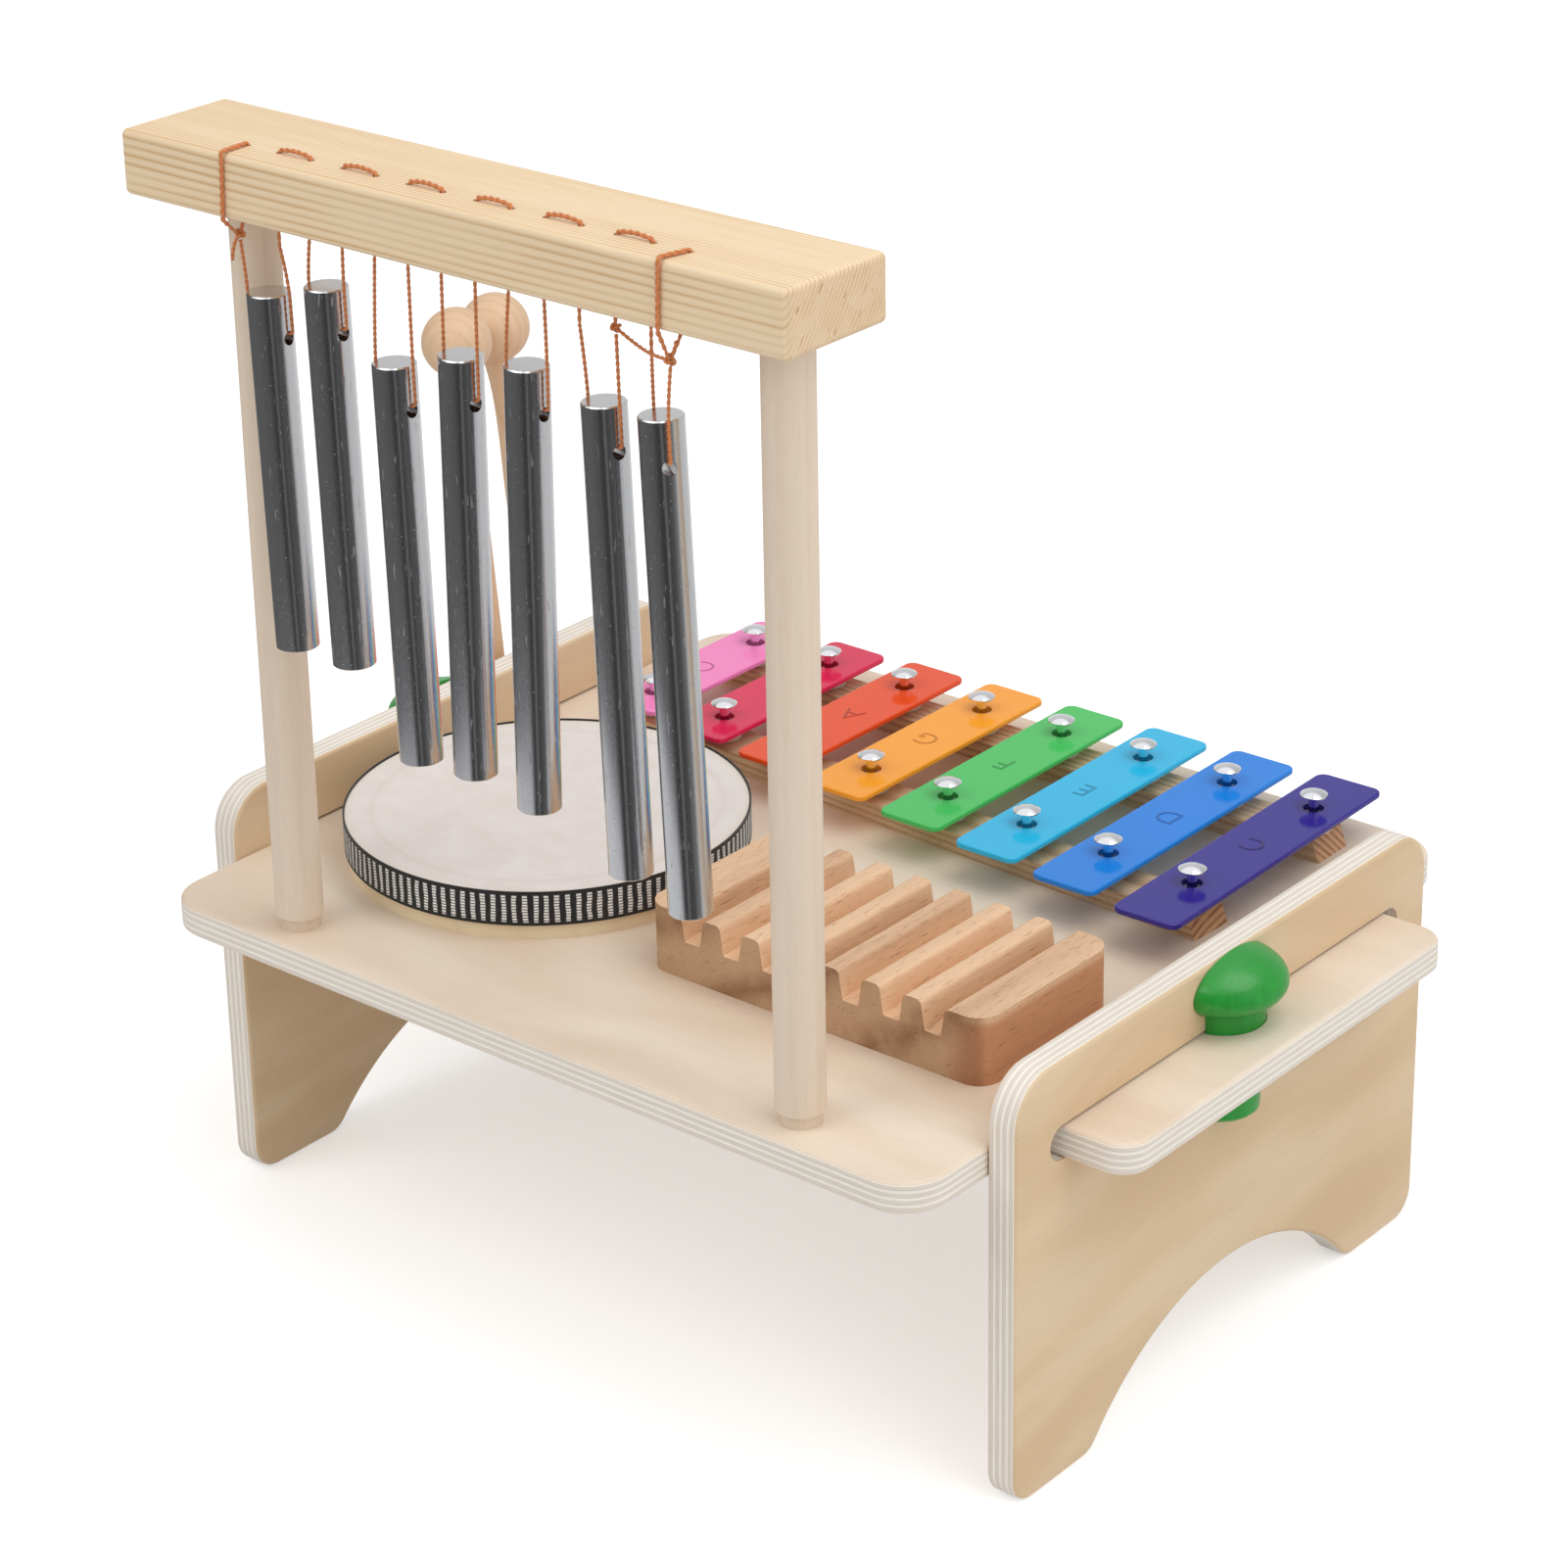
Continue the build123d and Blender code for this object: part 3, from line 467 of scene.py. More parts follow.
def cord_fibre(name):
    """Dyed waxed thread: warm orange-brown with darker fibres."""
    tree = material_tree(name)
    place = tree.place()
    hairs = tree.noise(place, hair_steps, detail=3.0, rough=0.65)
    shade = tree.mix(tree.ramp(hairs, *hair_tones), linear(236, 152, 90), linear(204, 116, 62))
    patch = tree.times(tree.noise(place, cord_patch_steps), cord_patch_share)
    shade = tree.mix(patch, shade, linear(188, 104, 54))
    tree.bump(hairs, hair_relief, strength=0.6)
    return tree.finish(shade, rough=0.72, sheen=0.25, sheen_rough=0.5)


def washer_rubber(name):
    """Off-white soft washer with a slightly dusty surface."""
    tree = material_tree(name)
    dust = tree.noise(tree.place(), dust_steps, detail=3.0, rough=0.6)
    tree.bump(dust, dust_relief, strength=0.4)
    shade = tree.mix(dust, linear(238, 232, 222), linear(214, 204, 190))
    return tree.finish(shade, rough=0.62)


# Drum skin and band: places and sizes in millimetres
drum_x = -90.2
drum_y = -40.7
skin_radius = 76.8
hoop_inner_radius = 68.8
hoop_edge_inset = 2.2
hoop_edge_width = 2.6
mottle_steps = 70.0
mottle_tones = ((0.35, 0.0), (0.65, 1.0))
skin_grain_steps = 1300.0
skin_ring_share = 0.22
skin_rim_tones = ((0.955, 0.0), (1.0, 1.0))
skin_rim_share = 0.5
skin_relief = 0.15
skin_grain_relief = 0.3
skin_ring_relief = -1.2
band_outer_wall = 76.9
band_stripes = 124
band_rows = 12
band_drift_steps = 160.0
band_drift = 0.34
band_fray = 0.028
dash_edge_tones = ((0.215, 1.0), (0.260, 0.0))
dash_end_tones = ((0.385, 1.0), (0.415, 0.0))
painted_thread_tones = ((0.22, 0.0), (0.55, 1.0))
fuzz_steps = 2500.0
band_relief = 0.3
dash_relief_share = 0.7
row_relief_share = 0.35
fuzz_relief_share = 0.25
band_low_corner, band_high_corner = box_mm("drum_trim_band")
band_low = band_low_corner[axis_z]
band_high = band_high_corner[axis_z]


def from_drum_centre(tree, place):
    """The place seen from the drum's middle line, and its distance from that."""
    centre = (drum_x * mm, drum_y * mm, 0.0)
    flat = tree.vector("MULTIPLY", tree.vector("SUBTRACT", place, centre), (1.0, 1.0, 0.0))
    return flat, tree.vector("LENGTH", flat)


def skin(name):
    """Stretched hide: off-white, faintly mottled, with the hoop's inner edge showing through."""
    tree = material_tree(name)
    place = tree.place()
    radius = from_drum_centre(tree, place)[1]
    mottle = tree.ramp(tree.noise(place, mottle_steps, detail=4.0, rough=0.6), *mottle_tones)
    base = tree.mix(mottle, linear(229, 221, 217), linear(223, 214, 209))
    apart = tree.math("ABSOLUTE", tree.minus(radius, (hoop_inner_radius - hoop_edge_inset) * mm))
    ring = tree.ramp(tree.math("DIVIDE", apart, hoop_edge_width * mm), (0.0, 1.0), (1.0, 0.0), smooth=True)
    colour = tree.mix(tree.times(ring, skin_ring_share), base, linear(205, 192, 184))
    rim = tree.ramp(tree.math("DIVIDE", radius, skin_radius * mm), *skin_rim_tones, smooth=True)
    colour = tree.mix(tree.times(rim, skin_rim_share), colour, linear(224, 210, 186))
    grainy = tree.noise(place, skin_grain_steps, rough=0.6)
    height = tree.plus(tree.times(grainy, skin_grain_relief), tree.times(ring, skin_ring_relief))
    tree.bump(height, skin_relief, strength=0.5)
    return tree.finish(colour, rough=0.58)


def striped_band(name):
    """Woven trim: black edges and ground, white dashes across it, each of fine horizontal threads greyed
    between the rows as painted shade.
    """
    tree = material_tree(name)
    place = tree.place()
    flat, radius = from_drum_centre(tree, place)
    angle = tree.math("ARCTAN2", tree.axis(flat, axis_y), tree.axis(flat, axis_x))
    above = tree.minus(tree.axis(place, axis_z), band_low * mm)
    height = tree.math("DIVIDE", above, (band_high - band_low) * mm)
    drift = tree.swing(tree.noise(place, band_drift_steps), band_drift)
    turn = tree.plus(tree.times(angle, band_stripes / math.tau), drift)
    stripe = tree.math("ABSOLUTE", tree.minus(tree.math("FRACT", turn), 0.5))
    rows = tree.math("SINE", tree.times(height, band_rows * math.tau))
    dash = tree.ramp(tree.plus(stripe, tree.times(rows, band_fray)), *dash_edge_tones)
    inside = tree.ramp(tree.math("ABSOLUTE", tree.minus(height, 0.5)), *dash_end_tones)
    outside = tree.math("GREATER_THAN", radius, band_outer_wall * mm)
    white = tree.times(tree.times(dash, inside), outside)
    # The white threads are painted grey in the grooves between the rows: painted shade, beside the real ribs
    # of the bump
    painted_row_light = tree.ramp(tree.math("MULTIPLY_ADD", rows, 0.5, 0.5), *painted_thread_tones)
    thread = tree.mix(painted_row_light, linear(104, 104, 104), linear(248, 248, 248))
    fuzz = tree.noise(place, fuzz_steps, rough=0.6)
    black = tree.mix(fuzz, linear(14, 14, 16), linear(38, 38, 40))
    ribs = tree.times(tree.plus(rows, 1.0), 0.5)
    relief = tree.plus(tree.times(white, dash_relief_share), tree.times(ribs, row_relief_share))
    tree.bump(tree.plus(relief, tree.times(fuzz, fuzz_relief_share)), band_relief, strength=0.8)
    return tree.finish(tree.mix(white, black, thread), rough=0.78, sheen=0.15)


# The materials of the pieces, with plies counted from the deck's lower face and the panels' inner ones
deck_low, deck_high = box_mm("deck")
right_low, right_high = box_mm("right_side_panel")
left_low, left_high = box_mm("left_side_panel")
ply_deck = plywood("birch_plywood_deck", linear(237, 221, 201), linear(228, 206, 183),
                   axis=axis_z, first_face=deck_low[axis_z], last_face=deck_high[axis_z], grain=axis_x)
ply_right = plywood("birch_plywood_right", linear(230, 205, 171), linear(218, 188, 148),
                    axis=axis_x, first_face=right_low[axis_x], last_face=right_high[axis_x], grain=axis_y)
ply_left = plywood("birch_plywood_left", linear(228, 203, 169), linear(216, 186, 147),
                   axis=axis_x, first_face=left_high[axis_x], last_face=left_low[axis_x], grain=axis_y)
pine = wood("pine_beam", linear(238, 214, 178), linear(206, 164, 108), grain=axis_x,
            pith=(0.0, -0.433, 0.617), ring=0.00172, ring_share=0.86,
            warp=0.0030, pores=0.0, fibre=0.12, tint=0.14, rough=0.5, line=0.74, fade=0.62,
            end_tint=(0.93, 0.89, 0.86), end_rings=0.8, end_dashes=0.9, dash_lie=(0.0, 0.55, 0.83))
dowel = wood("pale_dowel", linear(230, 211, 190), linear(204, 180, 153), grain=axis_z,
             pith=(0.3, 0.2, 0.0), ring=0.009, ring_share=0.22,
             pores=0.18, fibre=0.24, tint=0.22, rough=0.55)
hardwood = wood("guiro_hardwood", linear(236, 198, 160), linear(158, 106, 66), grain=axis_y,
                pith=(-0.10, 0.0, 0.46), ring=0.030, ring_share=0.42,
                warp=0.012, pores=0.95, fibre=0.20, tint=0.24, rough=0.56, line=0.7,
                end_tint=(0.70, 0.66, 0.61), end_rings=1.9, end_dashes=0.35, dash_lie=(0.8, 0.0, 0.6),
                dark_zone=((0.1365, 0.149), (0.1622, 0.1588), (0.76, 0.57, 0.47)))
brown = wood("rail_hardwood", linear(226, 196, 158), linear(150, 108, 72), grain=axis_x,
             pith=(0.0, 0.07, 0.08), ring=0.0027, ring_share=0.60,
             warp=0.004, pores=0.6, fibre=0.25, tint=0.25, rough=0.6, line=0.72,
             end_tint=(0.84, 0.68, 0.60), end_rings=1.8)
beech = wood("mallet_beech", linear(226, 192, 157), linear(200, 158, 122), grain=axis_z,
             pith=(-0.15, -0.06, 0.0), ring=0.0042, ring_share=0.34,
             warp=0.003, pores=0.35, fibre=0.16, tint=0.14, rough=0.5,
             end_tint=(0.98, 0.97, 0.96), end_rings=1.0)
hoop_wood = wood("drum_hoop_wood", linear(240, 222, 188), linear(216, 188, 148), grain=axis_x,
                 pith=(-0.09, -0.30, 0.1), ring=0.012, ring_share=0.25,
                 pores=0.2, fibre=0.2, tint=0.2, rough=0.5, end_tint=(1.0, 1.0, 1.0))
green_paint = painted_wood("green_painted_wood", linear(36, 160, 55), linear(24, 130, 42), grain=axis_z)
aluminium = metal("polished_aluminium", linear(222, 223, 225), rough=0.12, streak=0.08,
                  steps=(900.0, 900.0, 30.0), scratches=0.55)
chrome = metal("nail_chrome", linear(232, 233, 236), rough=0.06, streak=0.03, steps=(300.0, 300.0, 300.0))
zinc = metal("screw_zinc", linear(196, 198, 200), rough=0.30, streak=0.15,
             steps=(600.0, 600.0, 200.0), scratches=0.3)
cord_material = cord_fibre("twisted_cord")
washer = washer_rubber("soft_washer")
skin_material = skin("drum_skin")
band_material = striped_band("striped_trim")

enamel_colours = (
    ("light_pink_enamel", (250, 140, 200), (244, 124, 188)),
    ("crimson_enamel", (224, 34, 82), (206, 26, 70)),
    ("red_orange_enamel", (238, 80, 28), (226, 68, 20)),
    ("orange_enamel", (255, 168, 46), (250, 154, 34)),
    ("green_enamel", (76, 200, 100), (62, 186, 88)),
    ("cyan_enamel", (42, 190, 236), (32, 176, 224)),
    ("blue_enamel", (24, 134, 230), (18, 118, 218)),
    ("indigo_enamel", (52, 40, 146), (44, 32, 128)),
)
looks = {
    "deck": ply_deck, "right_side_panel": ply_right, "left_side_panel": ply_left,
    "left_locking_peg": green_paint, "right_locking_peg": green_paint,
    "left_post": dowel, "right_post": dowel, "chime_beam": pine,
    "drum_shell": hoop_wood, "drum_head": skin_material, "drum_trim_band": band_material,
    "guiro_block": hardwood, "front_rail": brown, "rear_rail": brown,
    "mallet_1": beech, "mallet_2": beech, "front_bar_nails": chrome, "rear_bar_nails": chrome,
    "bar_grommets": washer, "rail_screws": zinc, "guiro_screws": zinc, "drum_screws": zinc,
}
chime_count = 7
for number in range(1, chime_count + 1):
    looks[f"chime_bar_{number}"] = aluminium
for number, (name, colour, deep) in enumerate(enamel_colours, 1):
    looks[f"xylophone_bar_{number}"] = enamel(name, linear(*colour), linear(*deep))
for name, material in looks.items():
    node = nodes[name]
    node.data.materials.clear()
    node.data.materials.append(material)


# Embossed note letters near the middle of the xylophone bars, read from behind the table
note_letters = "CBAGFEDC"
letter_first_y = 98.4
letter_last_y = 95.4
letter_size = 14.0
letter_thinning = 0.18
letter_rise = 0.16
# Share of the enamel's deep colour in the letters: painted shade for the embossed strokes
letter_painted_shade = 0.78


def add_letter(number, letter):
    """The letter of a bar, which lies on its top, in its enamel darkened as painted shade of the embossed
    strokes.
    """
    text = bpy.data.curves.new("letter", "FONT")
    text.body = letter
    text.size = letter_size * mm
    text.offset = -letter_thinning * mm
    text.extrude = letter_rise * mm
    text.align_x = "CENTER"
    text.align_y = "CENTER"
    mesh = curve_mesh(text)
    name, _, deep = enamel_colours[number]
    painted_shade_colour = tuple(value * letter_painted_shade for value in deep)
    mesh.materials.clear()
    mesh.materials.append(enamel(f"{name}_letter", linear(*painted_shade_colour), linear(*deep)))
    piece = add_object(f"note_letter_{number + 1}", mesh)
    low, high = box_mm(f"xylophone_bar_{number + 1}")
    share = number / (len(note_letters) - 1)
    y = letter_first_y + (letter_last_y - letter_first_y) * share
    piece.location = Vector(((low[axis_x] + high[axis_x]) / 2, y, high[axis_z])) * mm
    piece.rotation_euler = (0, 0, math.pi)
    bpy.context.view_layer.update()
    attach(piece, f"xylophone_bar_{number + 1}")


for number, letter in enumerate(note_letters):
    add_letter(number, letter)


# Cord: two plies twisted round the line of a smooth route, with places and sizes in millimetres
ply_offset = 0.24
ply_radius = 0.45
ply_pitch = 4.4
ply_sides = 6
ply_step = 0.42
route_order = 3
route_resolution = 24
loose_width = 1.3
taper_length = 2.3
beam_low, beam_high = box_mm("chime_beam")
beam_bottom = beam_low[axis_z]
beam_top = beam_high[axis_z]
beam_front = beam_low[axis_y]


def route_line(points):
    """Points of the smooth curve that a route's points control."""
    curve = bpy.data.curves.new("route", "CURVE")
    curve.dimensions = "3D"
    spline = curve.splines.new("NURBS")
    spline.points.add(len(points) - 1)
    for point, place in zip(spline.points, points):
        point.co = (*(place * mm), 1.0)
    spline.order_u = route_order
    spline.use_endpoint_u = True
    spline.resolution_u = route_resolution
    mesh = curve_mesh(curve)
    line = [vertex.co.copy() for vertex in mesh.vertices]
    bpy.data.meshes.remove(mesh)
    return line


def even_steps(line, step):
    """The same line with its points at even steps, and its length."""
    lengths = [0.0]
    for before, after in zip(line, line[1:]):
        lengths.append(lengths[-1] + (after - before).length)
    count = max(2, round(lengths[-1] / step))
    spaced = []
    segment = 0
    for number in range(count + 1):
        reach = lengths[-1] * number / count
        while segment < len(line) - 2 and lengths[segment + 1] < reach:
            segment += 1
        span = lengths[segment + 1] - lengths[segment]
        share = 0.0 if span == 0 else (reach - lengths[segment]) / span
        spaced.append(line[segment].lerp(line[segment + 1], min(1.0, share)))
    return spaced, lengths[-1]


def line_directions(line):
    """The direction of a line at each of its points."""
    directions = []
    for number in range(len(line)):
        before = line[max(0, number - 1)]
        after = line[min(len(line) - 1, number + 1)]
        directions.append((after - before).normalized())
    return directions


def looseness(place, width):
    """The cord's width at a place: more where it lies loose on the beam's top or front."""
    above = place.z / mm - beam_top + taper_length
    ahead = beam_front + taper_length - place.y / mm
    return 1.0 + (width - 1.0) * min(1.0, max(0.0, above / taper_length, ahead / taper_length))


def twisted_mesh(name, line, width=1.0):
    """A piece of two plies wound round a line, looser by width on the beam, with its line and length."""
    spaced, length = even_steps(line, ply_step * mm)
    directions = line_directions(spaced)
    turns = length / (ply_pitch * mm * width)
    side = directions[0].orthogonal().normalized()
    made = bmesh.new()
    rings = [[], []]
    for number, (place, direction) in enumerate(zip(spaced, directions)):
        side = (side - direction * side.dot(direction)).normalized()
        other = direction.cross(side)
        turn = math.tau * turns * number / (len(spaced) - 1)
        loose = looseness(place, width) * mm
        for ply, ply_rings in enumerate(rings):
            angle = turn + math.pi * ply
            middle = place + (side * math.cos(angle) + other * math.sin(angle)) * ply_offset * loose
            ring = []
            for corner in range(ply_sides):
                bend = math.tau * corner / ply_sides + angle
                spoke = side * math.cos(bend) + other * math.sin(bend)
                ring.append(made.verts.new(middle + spoke * ply_radius * loose))
            ply_rings.append(ring)
    for ply_rings in rings:
        for first, second in zip(ply_rings, ply_rings[1:]):
            for corner in range(ply_sides):
                following = (corner + 1) % ply_sides
                made.faces.new((first[corner], first[following], second[following], second[corner]))
        made.faces.new(ply_rings[0][::-1])
        made.faces.new(ply_rings[-1])
    for face in made.faces:
        face.smooth = True
    mesh = bpy.data.meshes.new(name)
    made.to_mesh(mesh)
    made.free()
    mesh.materials.append(cord_material)
    return add_object(name, mesh), spaced, length


def put_cord(piece, body, replaced):
    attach(piece, body)
    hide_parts(replaced)


# Chime cords: through the rods and up to the beam, whose cord holes are counted from the left
chime_drops = (25.9, 18.2, 39.0, 29.9, 27.1, 32.4, 31.8)
chime_shifts = (1.0, -1.0, -1.0, -0.8, -1.5, 2.2, -3.7)
chime_turns = (8.0, -4.0, -2.0, -9.0, 0.0, -14.0, -34.0)
chime_leans = (1.5, 1.25, 1.28, -0.75, -0.86, 1.77, 2.32)
chime_cord_lengths = (79.6, 80.8, 122.2, 104.0, 98.5, 92.3, 84.5)
chime_hole_drop = 15.6
first_hole_x = -106.5
hole_pitch = 15.1
hole_bottom_setback = 9.4
hole_top_setback = 12.0
strand_side = 9.05
strand_seat = 1.65
strand_shoulder = 20.6
corner_step = 2.75
swing_gap = 0.35
knot_radius = 1.9
left_knot_offset = (-0.8, -3.0, -6.4)
right_knot_offset = (-2.9, -5.0, -10.4)
tie_knot_offset = (0.4, 0.0, -6.6)
hole_count = 2 * chime_count
hole_xs = [first_hole_x + hole_pitch * number for number in range(hole_count)]
last_hole = hole_count - 1
tie_hole = hole_count - 3


def lace(hole, z):
    """The point at a height on the slanted line of a cord hole."""
    share = (z - beam_bottom) / (beam_top - beam_bottom)
    setback = hole_bottom_setback + (hole_top_setback - hole_bottom_setback) * share
    return Vector((hole_xs[hole], beam_front + setback, z))


left_knot = lace(0, beam_bottom) + Vector(left_knot_offset)
right_knot = lace(last_hole, beam_bottom) + Vector(right_knot_offset)
tie_knot = lace(tie_hole, beam_bottom) + Vector(tie_knot_offset)
knots = {0: left_knot, tie_hole: tie_knot, last_hole: right_knot}


def strand_ends(number):
    """Upper ends of a chime's two moving strands."""
    holes = (2 * number, 2 * number + 1)
    level = min([knots[hole].z - knot_radius for hole in holes if hole in knots] + [beam_bottom])
    ends = []
    for hole in holes:
        above = knots[hole] if hole in knots else lace(hole, beam_bottom)
        ends.append(Vector((above.x, above.y, level - swing_gap)))
    return ends


def chime_route(number):
    """Down one strand, through the rod's cross hole and up the other strand."""
    lean = math.radians(chime_leans[number])
    turn = math.radians(chime_turns[number])
    up = Vector((-math.sin(lean), 0, math.cos(lean)))
    level = Vector((math.cos(turn), math.sin(turn), 0))
    across = (level - up * level.dot(up)).normalized()
    pair_x = (hole_xs[2 * number] + hole_xs[2 * number + 1]) / 2
    centre = Vector((pair_x + chime_shifts[number], beam_front + hole_bottom_setback,
                     beam_bottom - chime_drops[number] - chime_hole_drop))
    left, right = strand_ends(number)

    def local(side, rise):
        return centre + across * side + up * rise

    return [left, local(-strand_side, strand_shoulder), local(-strand_side, strand_seat + corner_step),
            local(-strand_side, strand_seat), local(corner_step - strand_side, strand_seat),
            local(strand_side - corner_step, strand_seat), local(strand_side, strand_seat),
            local(strand_side, strand_seat + corner_step), local(strand_side, strand_shoulder), right]


for number, cord_length in enumerate(chime_cord_lengths):
    route = route_line(chime_route(number))
    cord, line, _ = twisted_mesh(f"chime_cord_{number + 1}_twisted", route)
    put_cord(cord, f"chime_{number + 1}_cord", f"chime_cord_{number + 1}")


# Lacing on the beam: stitches, end loops, tails and the tie between the last two chimes
stitch_rise = 0.85
stitch_hump = 1.0
bend_step = 2.3
left_run_leans = (0.5, -0.9)
right_run_leans = (-2.3, -3.2)
left_tail_steps = ((-2.5, -1.2, -2.8), (-3.0, -1.4, -9.6))
right_tail_steps = ((1.6, 0.5, 3.4), (2.6, 0.0, 6.6))
tie_steps = ((-7.0, 1.2, -0.9), (-18.0, 3.6, 0.6))
knot_points = 72
knot_lean = 0.6
knot_depth = 1.3


def foot_points(hole):
    """Lower end of the fixed cord in a hole."""
    exit_point = lace(hole, beam_bottom)
    if hole in knots:
        return [knots[hole], exit_point]
    level = strand_ends(hole // 2)[hole % 2].z + swing_gap
    if level < beam_bottom - swing_gap:
        return [Vector((exit_point.x, exit_point.y, level)), exit_point]
    return [exit_point]


def stitch_points(hole):
    """Up through a hole, over the beam's top in a low hump and down through the next hole."""
    left = lace(hole, beam_top + stitch_rise)
    right = lace(hole + 1, beam_top + stitch_rise)
    low_left = lace(hole, beam_top - bend_step)
    low_right = lace(hole + 1, beam_top - bend_step)
    rise = Vector((0, 0, stitch_hump))
    near_left = left + Vector((bend_step, 0, 0)) + rise / 2
    near_right = right - Vector((bend_step, 0, 0)) + rise / 2
    middle = (left + right) / 2 + rise
    points = foot_points(hole) + [low_left, left, near_left, middle, near_right, right, low_right]
    return points + foot_points(hole + 1)[::-1]


def loop_points(hole, leans, knot):
    """From a knot up through a hole, over the beam's front edge and back down to the knot."""
    top_lean, bottom_lean = leans
    out_y = beam_front - stitch_rise
    top = lace(hole, beam_top + stitch_rise)
    over = Vector((hole_xs[hole] + top_lean, out_y, beam_top + stitch_rise))
    under = Vector((hole_xs[hole] + bottom_lean, out_y, beam_bottom))
    down = (under - over).normalized()
    back = (knot - under).normalized()
    return [knot, lace(hole, beam_bottom), lace(hole, beam_top - bend_step), top,
            top - Vector((0, bend_step, 0)), over + Vector((0, bend_step, 0)), over,
            over + down * bend_step, under - down * bend_step, under, under + back * bend_step,
            knot - Vector((0, 0, knot_radius / 2))]


def knot_piece(name, centre, size, turn):
    """A small overhand knot: the cord wound through itself."""
    spin = Matrix.Rotation(turn, 3, "Y") @ Matrix.Rotation(knot_lean, 3, "X")
    line = []
    for number in range(knot_points + 1):
        angle = math.tau * number / knot_points
        point = Vector((math.sin(angle) + 2 * math.sin(2 * angle),
                        math.cos(angle) - 2 * math.cos(2 * angle),
                        -knot_depth * math.sin(3 * angle)))
        line.append((centre + spin @ point * size) * mm)
    piece = twisted_mesh(name, line)[0]
    put_cord(piece, "table", "beam_lacing")
    return piece


def lacing_piece(name, points, width=1.0, **more):
    """A length of the lacing, put on the table in place of the beam's lacing."""
    piece, line, length = twisted_mesh(name, route_line(points), width)
    put_cord(piece, "table", "beam_lacing")
    return piece


def from_knot(knot, steps):
    """A knot's centre and the points at these steps from it."""
    return [knot] + [knot + Vector(step) for step in steps]


left_knot_piece = knot_piece("left_knot", left_knot, size=0.52, turn=0.3)
right_knot_piece = knot_piece("right_knot", right_knot, size=0.56, turn=1.2)
tie_knot_piece = knot_piece("tie_knot", tie_knot, size=0.50, turn=2.2)
left_tail = lacing_piece("left_tail", from_knot(left_knot, left_tail_steps))
right_tail = lacing_piece("right_tail", from_knot(right_knot, right_tail_steps))
tie = lacing_piece("tie_cord", from_knot(right_knot, tie_steps) + [tie_knot])
for hole in range(1, last_hole - 1, 2):
    lacing_piece(f"stitch_{(hole + 1) // 2}", stitch_points(hole), loose_width)
lacing_piece("left_end_loop", loop_points(0, left_run_leans, left_knot), loose_width,
             with_pieces=[left_knot_piece, left_tail])
lacing_piece("right_end_loop", loop_points(last_hole, right_run_leans, right_knot), loose_width,
             with_pieces=[right_knot_piece, right_tail, tie, tie_knot_piece])


# Stage, in metres: a pale floor that stays white to the camera and keeps the shadow
floor_half_side = 7.0
floor_near = 0.8
floor_far = 2.6
floor_near_glow = 0.42
floor_far_glow = 0.56


def stage_floor():
    mesh = bpy.data.meshes.new("floor")
    made = bmesh.new()
    bmesh.ops.create_grid(made, x_segments=1, y_segments=1, size=floor_half_side)
    made.to_mesh(mesh)
    made.free()
    floor = add_object("floor", mesh)
    tree = material_tree("floor_paper")
    tree.finish(linear(236, 236, 236), rough=0.9, specular=0.0)
    reach = tree.vector("LENGTH", tree.place())
    paleness = tree.spread(reach, floor_near, floor_far, floor_near_glow, floor_far_glow)
    glow = tree.node("ShaderNodeEmission", plain_white, tree.times(tree.shown(), paleness))
    both = tree.node("ShaderNodeAddShader", tree.shader.outputs[0], glow.outputs[0])
    tree.links.new(both.outputs[0], tree.output.inputs["Surface"])
    mesh.materials.append(tree.owner)


# The surround's tones start behind, opposite the camera, and go round by the left, the front and the right
surround_centre = (0.0, -0.16, 0.002)
surround_radius = 0.9
surround_height = 1.0
surround_steps = 96
surround_tones = (
    (0.0, 0.80), (0.05, 0.75), (0.09, 0.11), (0.25, 0.12), (0.40, 0.09), (0.46, 0.04), (0.49, 0.05),
    (0.505, 0.20), (0.53, 0.05), (0.60, 0.10), (0.65, 0.22), (0.675, 0.60), (0.84, 0.64), (0.95, 0.80),
)
surround_height_tones = ((0.30, 1.0), (0.36, 0.85))
near_tones = ((0.50, 1.0), (0.58, 0.0))
left_tones = ((0.40, 1.0), (0.47, 0.0))
near_left_glow = (0.66, 0.66, 0.68, 1.0)


def surround_mesh(middle):
    """A round floor with an upright wall at its edge."""
    made = bmesh.new()
    centre = made.verts.new(middle)
    columns = []
    for number in range(surround_steps):
        angle = math.tau * number / surround_steps
        out = middle + Vector((math.cos(angle), math.sin(angle), 0)) * surround_radius
        columns.append((made.verts.new(out), made.verts.new(out + Vector((0, 0, surround_height)))))
    for first, second in zip(columns, columns[1:] + columns[:1]):
        made.faces.new((first[0], second[0], second[1], first[1]))
        made.faces.new((centre, second[0], first[0]))
    mesh = bpy.data.meshes.new("reflected_surround")
    made.to_mesh(mesh)
    made.free()
    return mesh


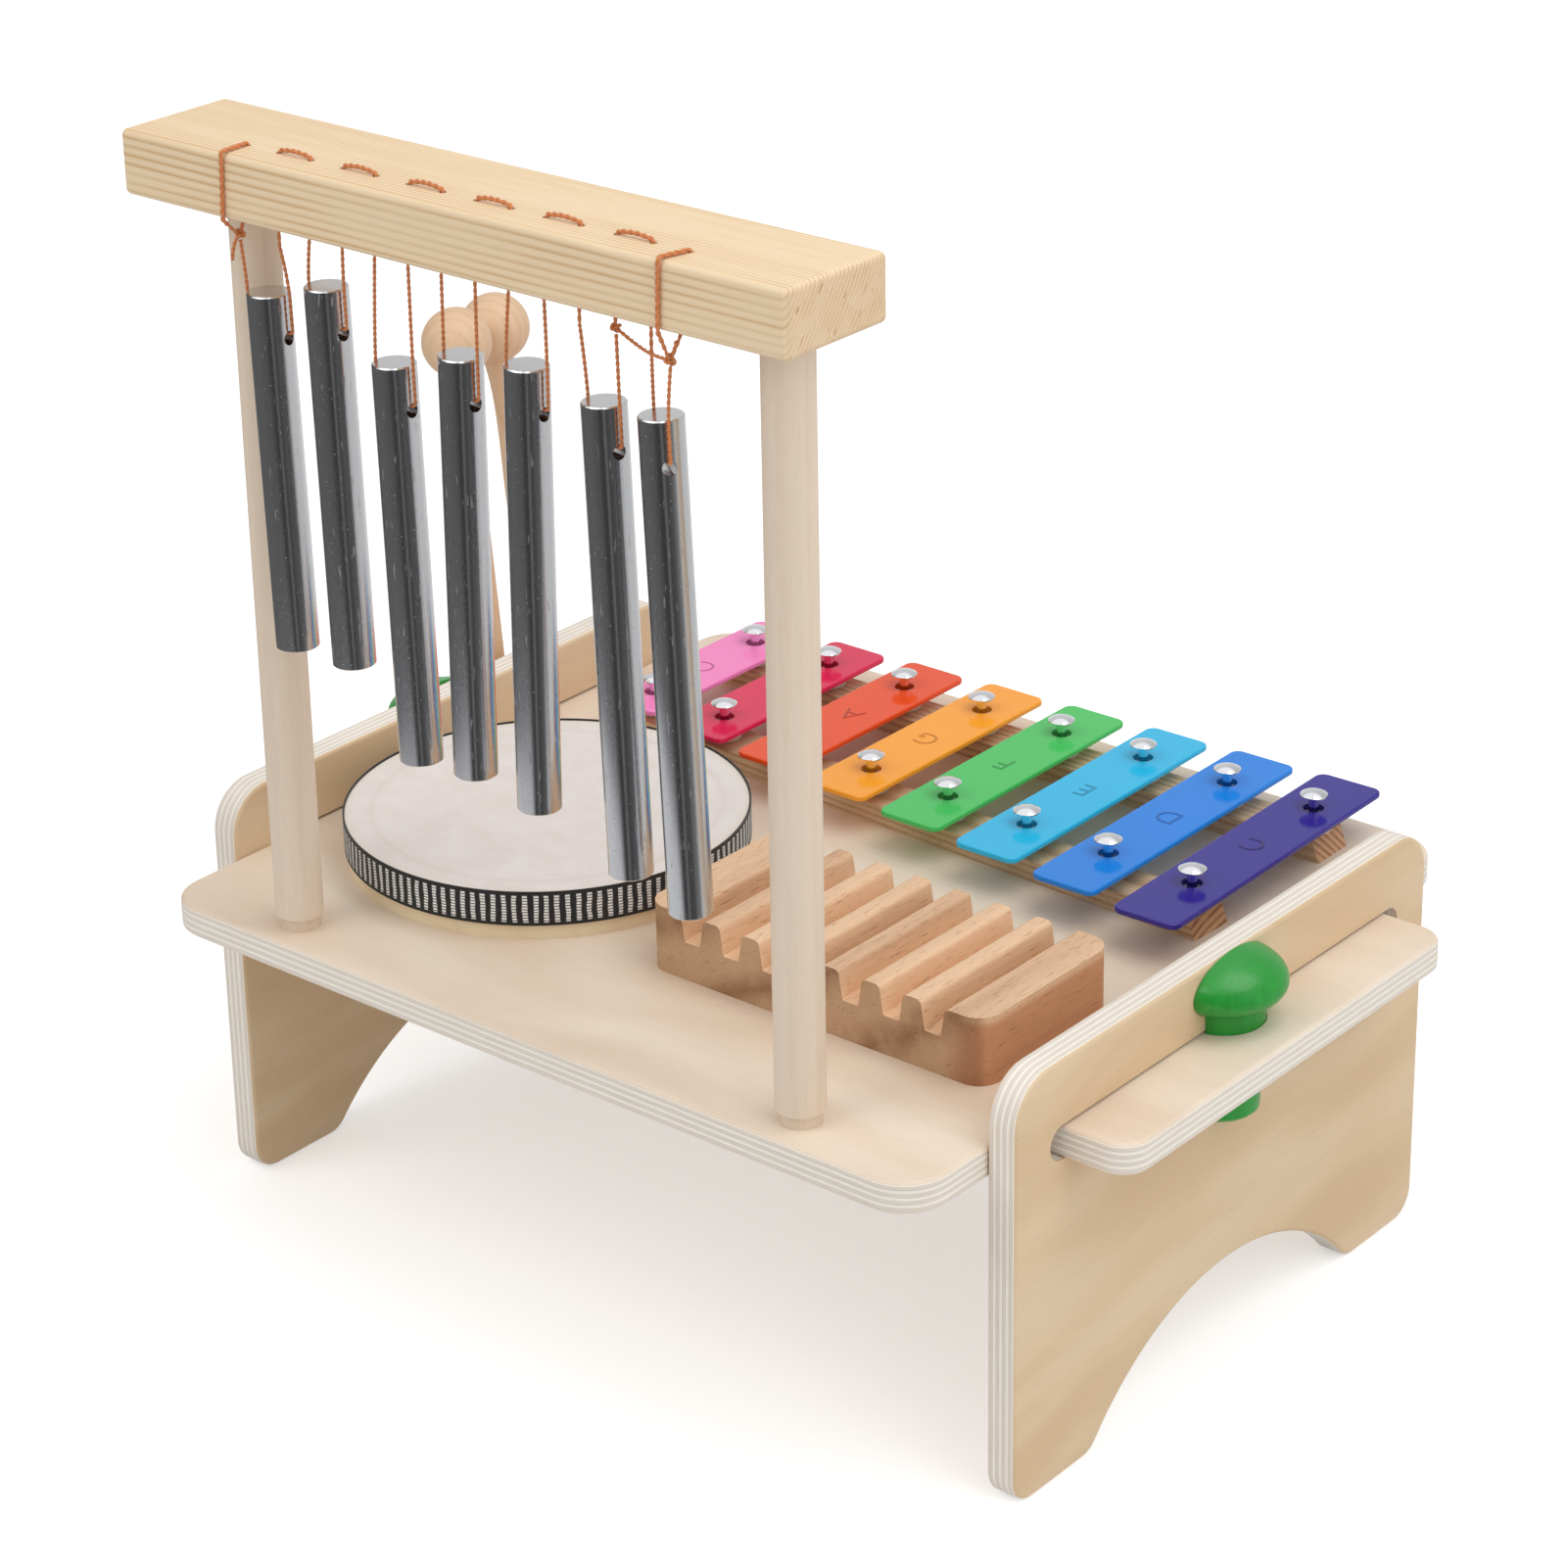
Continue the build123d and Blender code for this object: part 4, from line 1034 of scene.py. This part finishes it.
def stage_surround():
    """A wide bowl that only reflections see: dark at the left and in front, pale at the right and behind."""
    middle = Vector(surround_centre)
    mesh = surround_mesh(middle)
    bowl = add_object("reflected_surround", mesh)
    tree = material_tree("reflected_surround")
    tree.nodes.remove(tree.shader)
    place = tree.vector("SUBTRACT", tree.place(), tuple(middle))
    angle = tree.math("ARCTAN2", tree.axis(place, axis_y), tree.axis(place, axis_x))
    facing = math.atan2(-math.cos(view_azimuth), math.sin(view_azimuth))
    turn = tree.math("FRACT", tree.math("DIVIDE", tree.minus(angle, facing - math.pi), math.tau))
    glow = tree.ramp(turn, *surround_tones)
    upper = tree.ramp(tree.axis(place, axis_z), *surround_height_tones)
    glow = tree.mix(1.0, glow, upper, "MULTIPLY")
    near = tree.ramp(tree.vector("LENGTH", place), *near_tones, smooth=True)
    left = tree.ramp(turn, *left_tones, smooth=True)
    glow = tree.mix(tree.times(near, left), glow, near_left_glow)
    light = tree.node("ShaderNodeEmission", glow, 1.0)
    tree.links.new(light.outputs[0], tree.output.inputs["Surface"])
    mesh.materials.append(tree.owner)
    bowl.visible_camera = False
    bowl.visible_diffuse = False
    bowl.visible_shadow = False
    bowl.visible_transmission = False


# Lights: a name, a place, the side of a square panel in metres, and the power
light_target = Vector((0.0, 0.0, 0.2))
lights = (
    ("key", (-0.7, -1.6, 2.1), 1.6, 15.5),
    ("fill", (2.0, -0.4, 1.3), 1.4, 8.0),
    ("top", (0.9, 0.3, 2.3), 1.8, 20.0),
)
world_strength = 0.55


def area_light(name, place, side, power):
    light = bpy.data.lights.new(name, "AREA")
    light.shape = "RECTANGLE"
    light.size = side
    light.size_y = side
    light.energy = power
    lamp = add_object(name, light)
    lamp.location = place
    lamp.rotation_mode = "QUATERNION"
    lamp.rotation_quaternion = (light_target - Vector(place)).to_track_quat("-Z", "Y")


def world_light():
    """Even light from all round, which the camera and reflections see as plain white."""
    world = bpy.data.worlds.new("studio")
    bpy.context.scene.world = world
    tree = Tree(world)
    back = tree.nodes["Background"]
    back.inputs["Color"].default_value = plain_white
    tree.put(back.inputs["Strength"], tree.spread(tree.shown(), 0.0, 1.0, world_strength, 1.0))


stage_floor()
stage_surround()
world_light()
for light in lights:
    area_light(*light)

scene = bpy.context.scene
scene.view_settings.view_transform = "Standard"
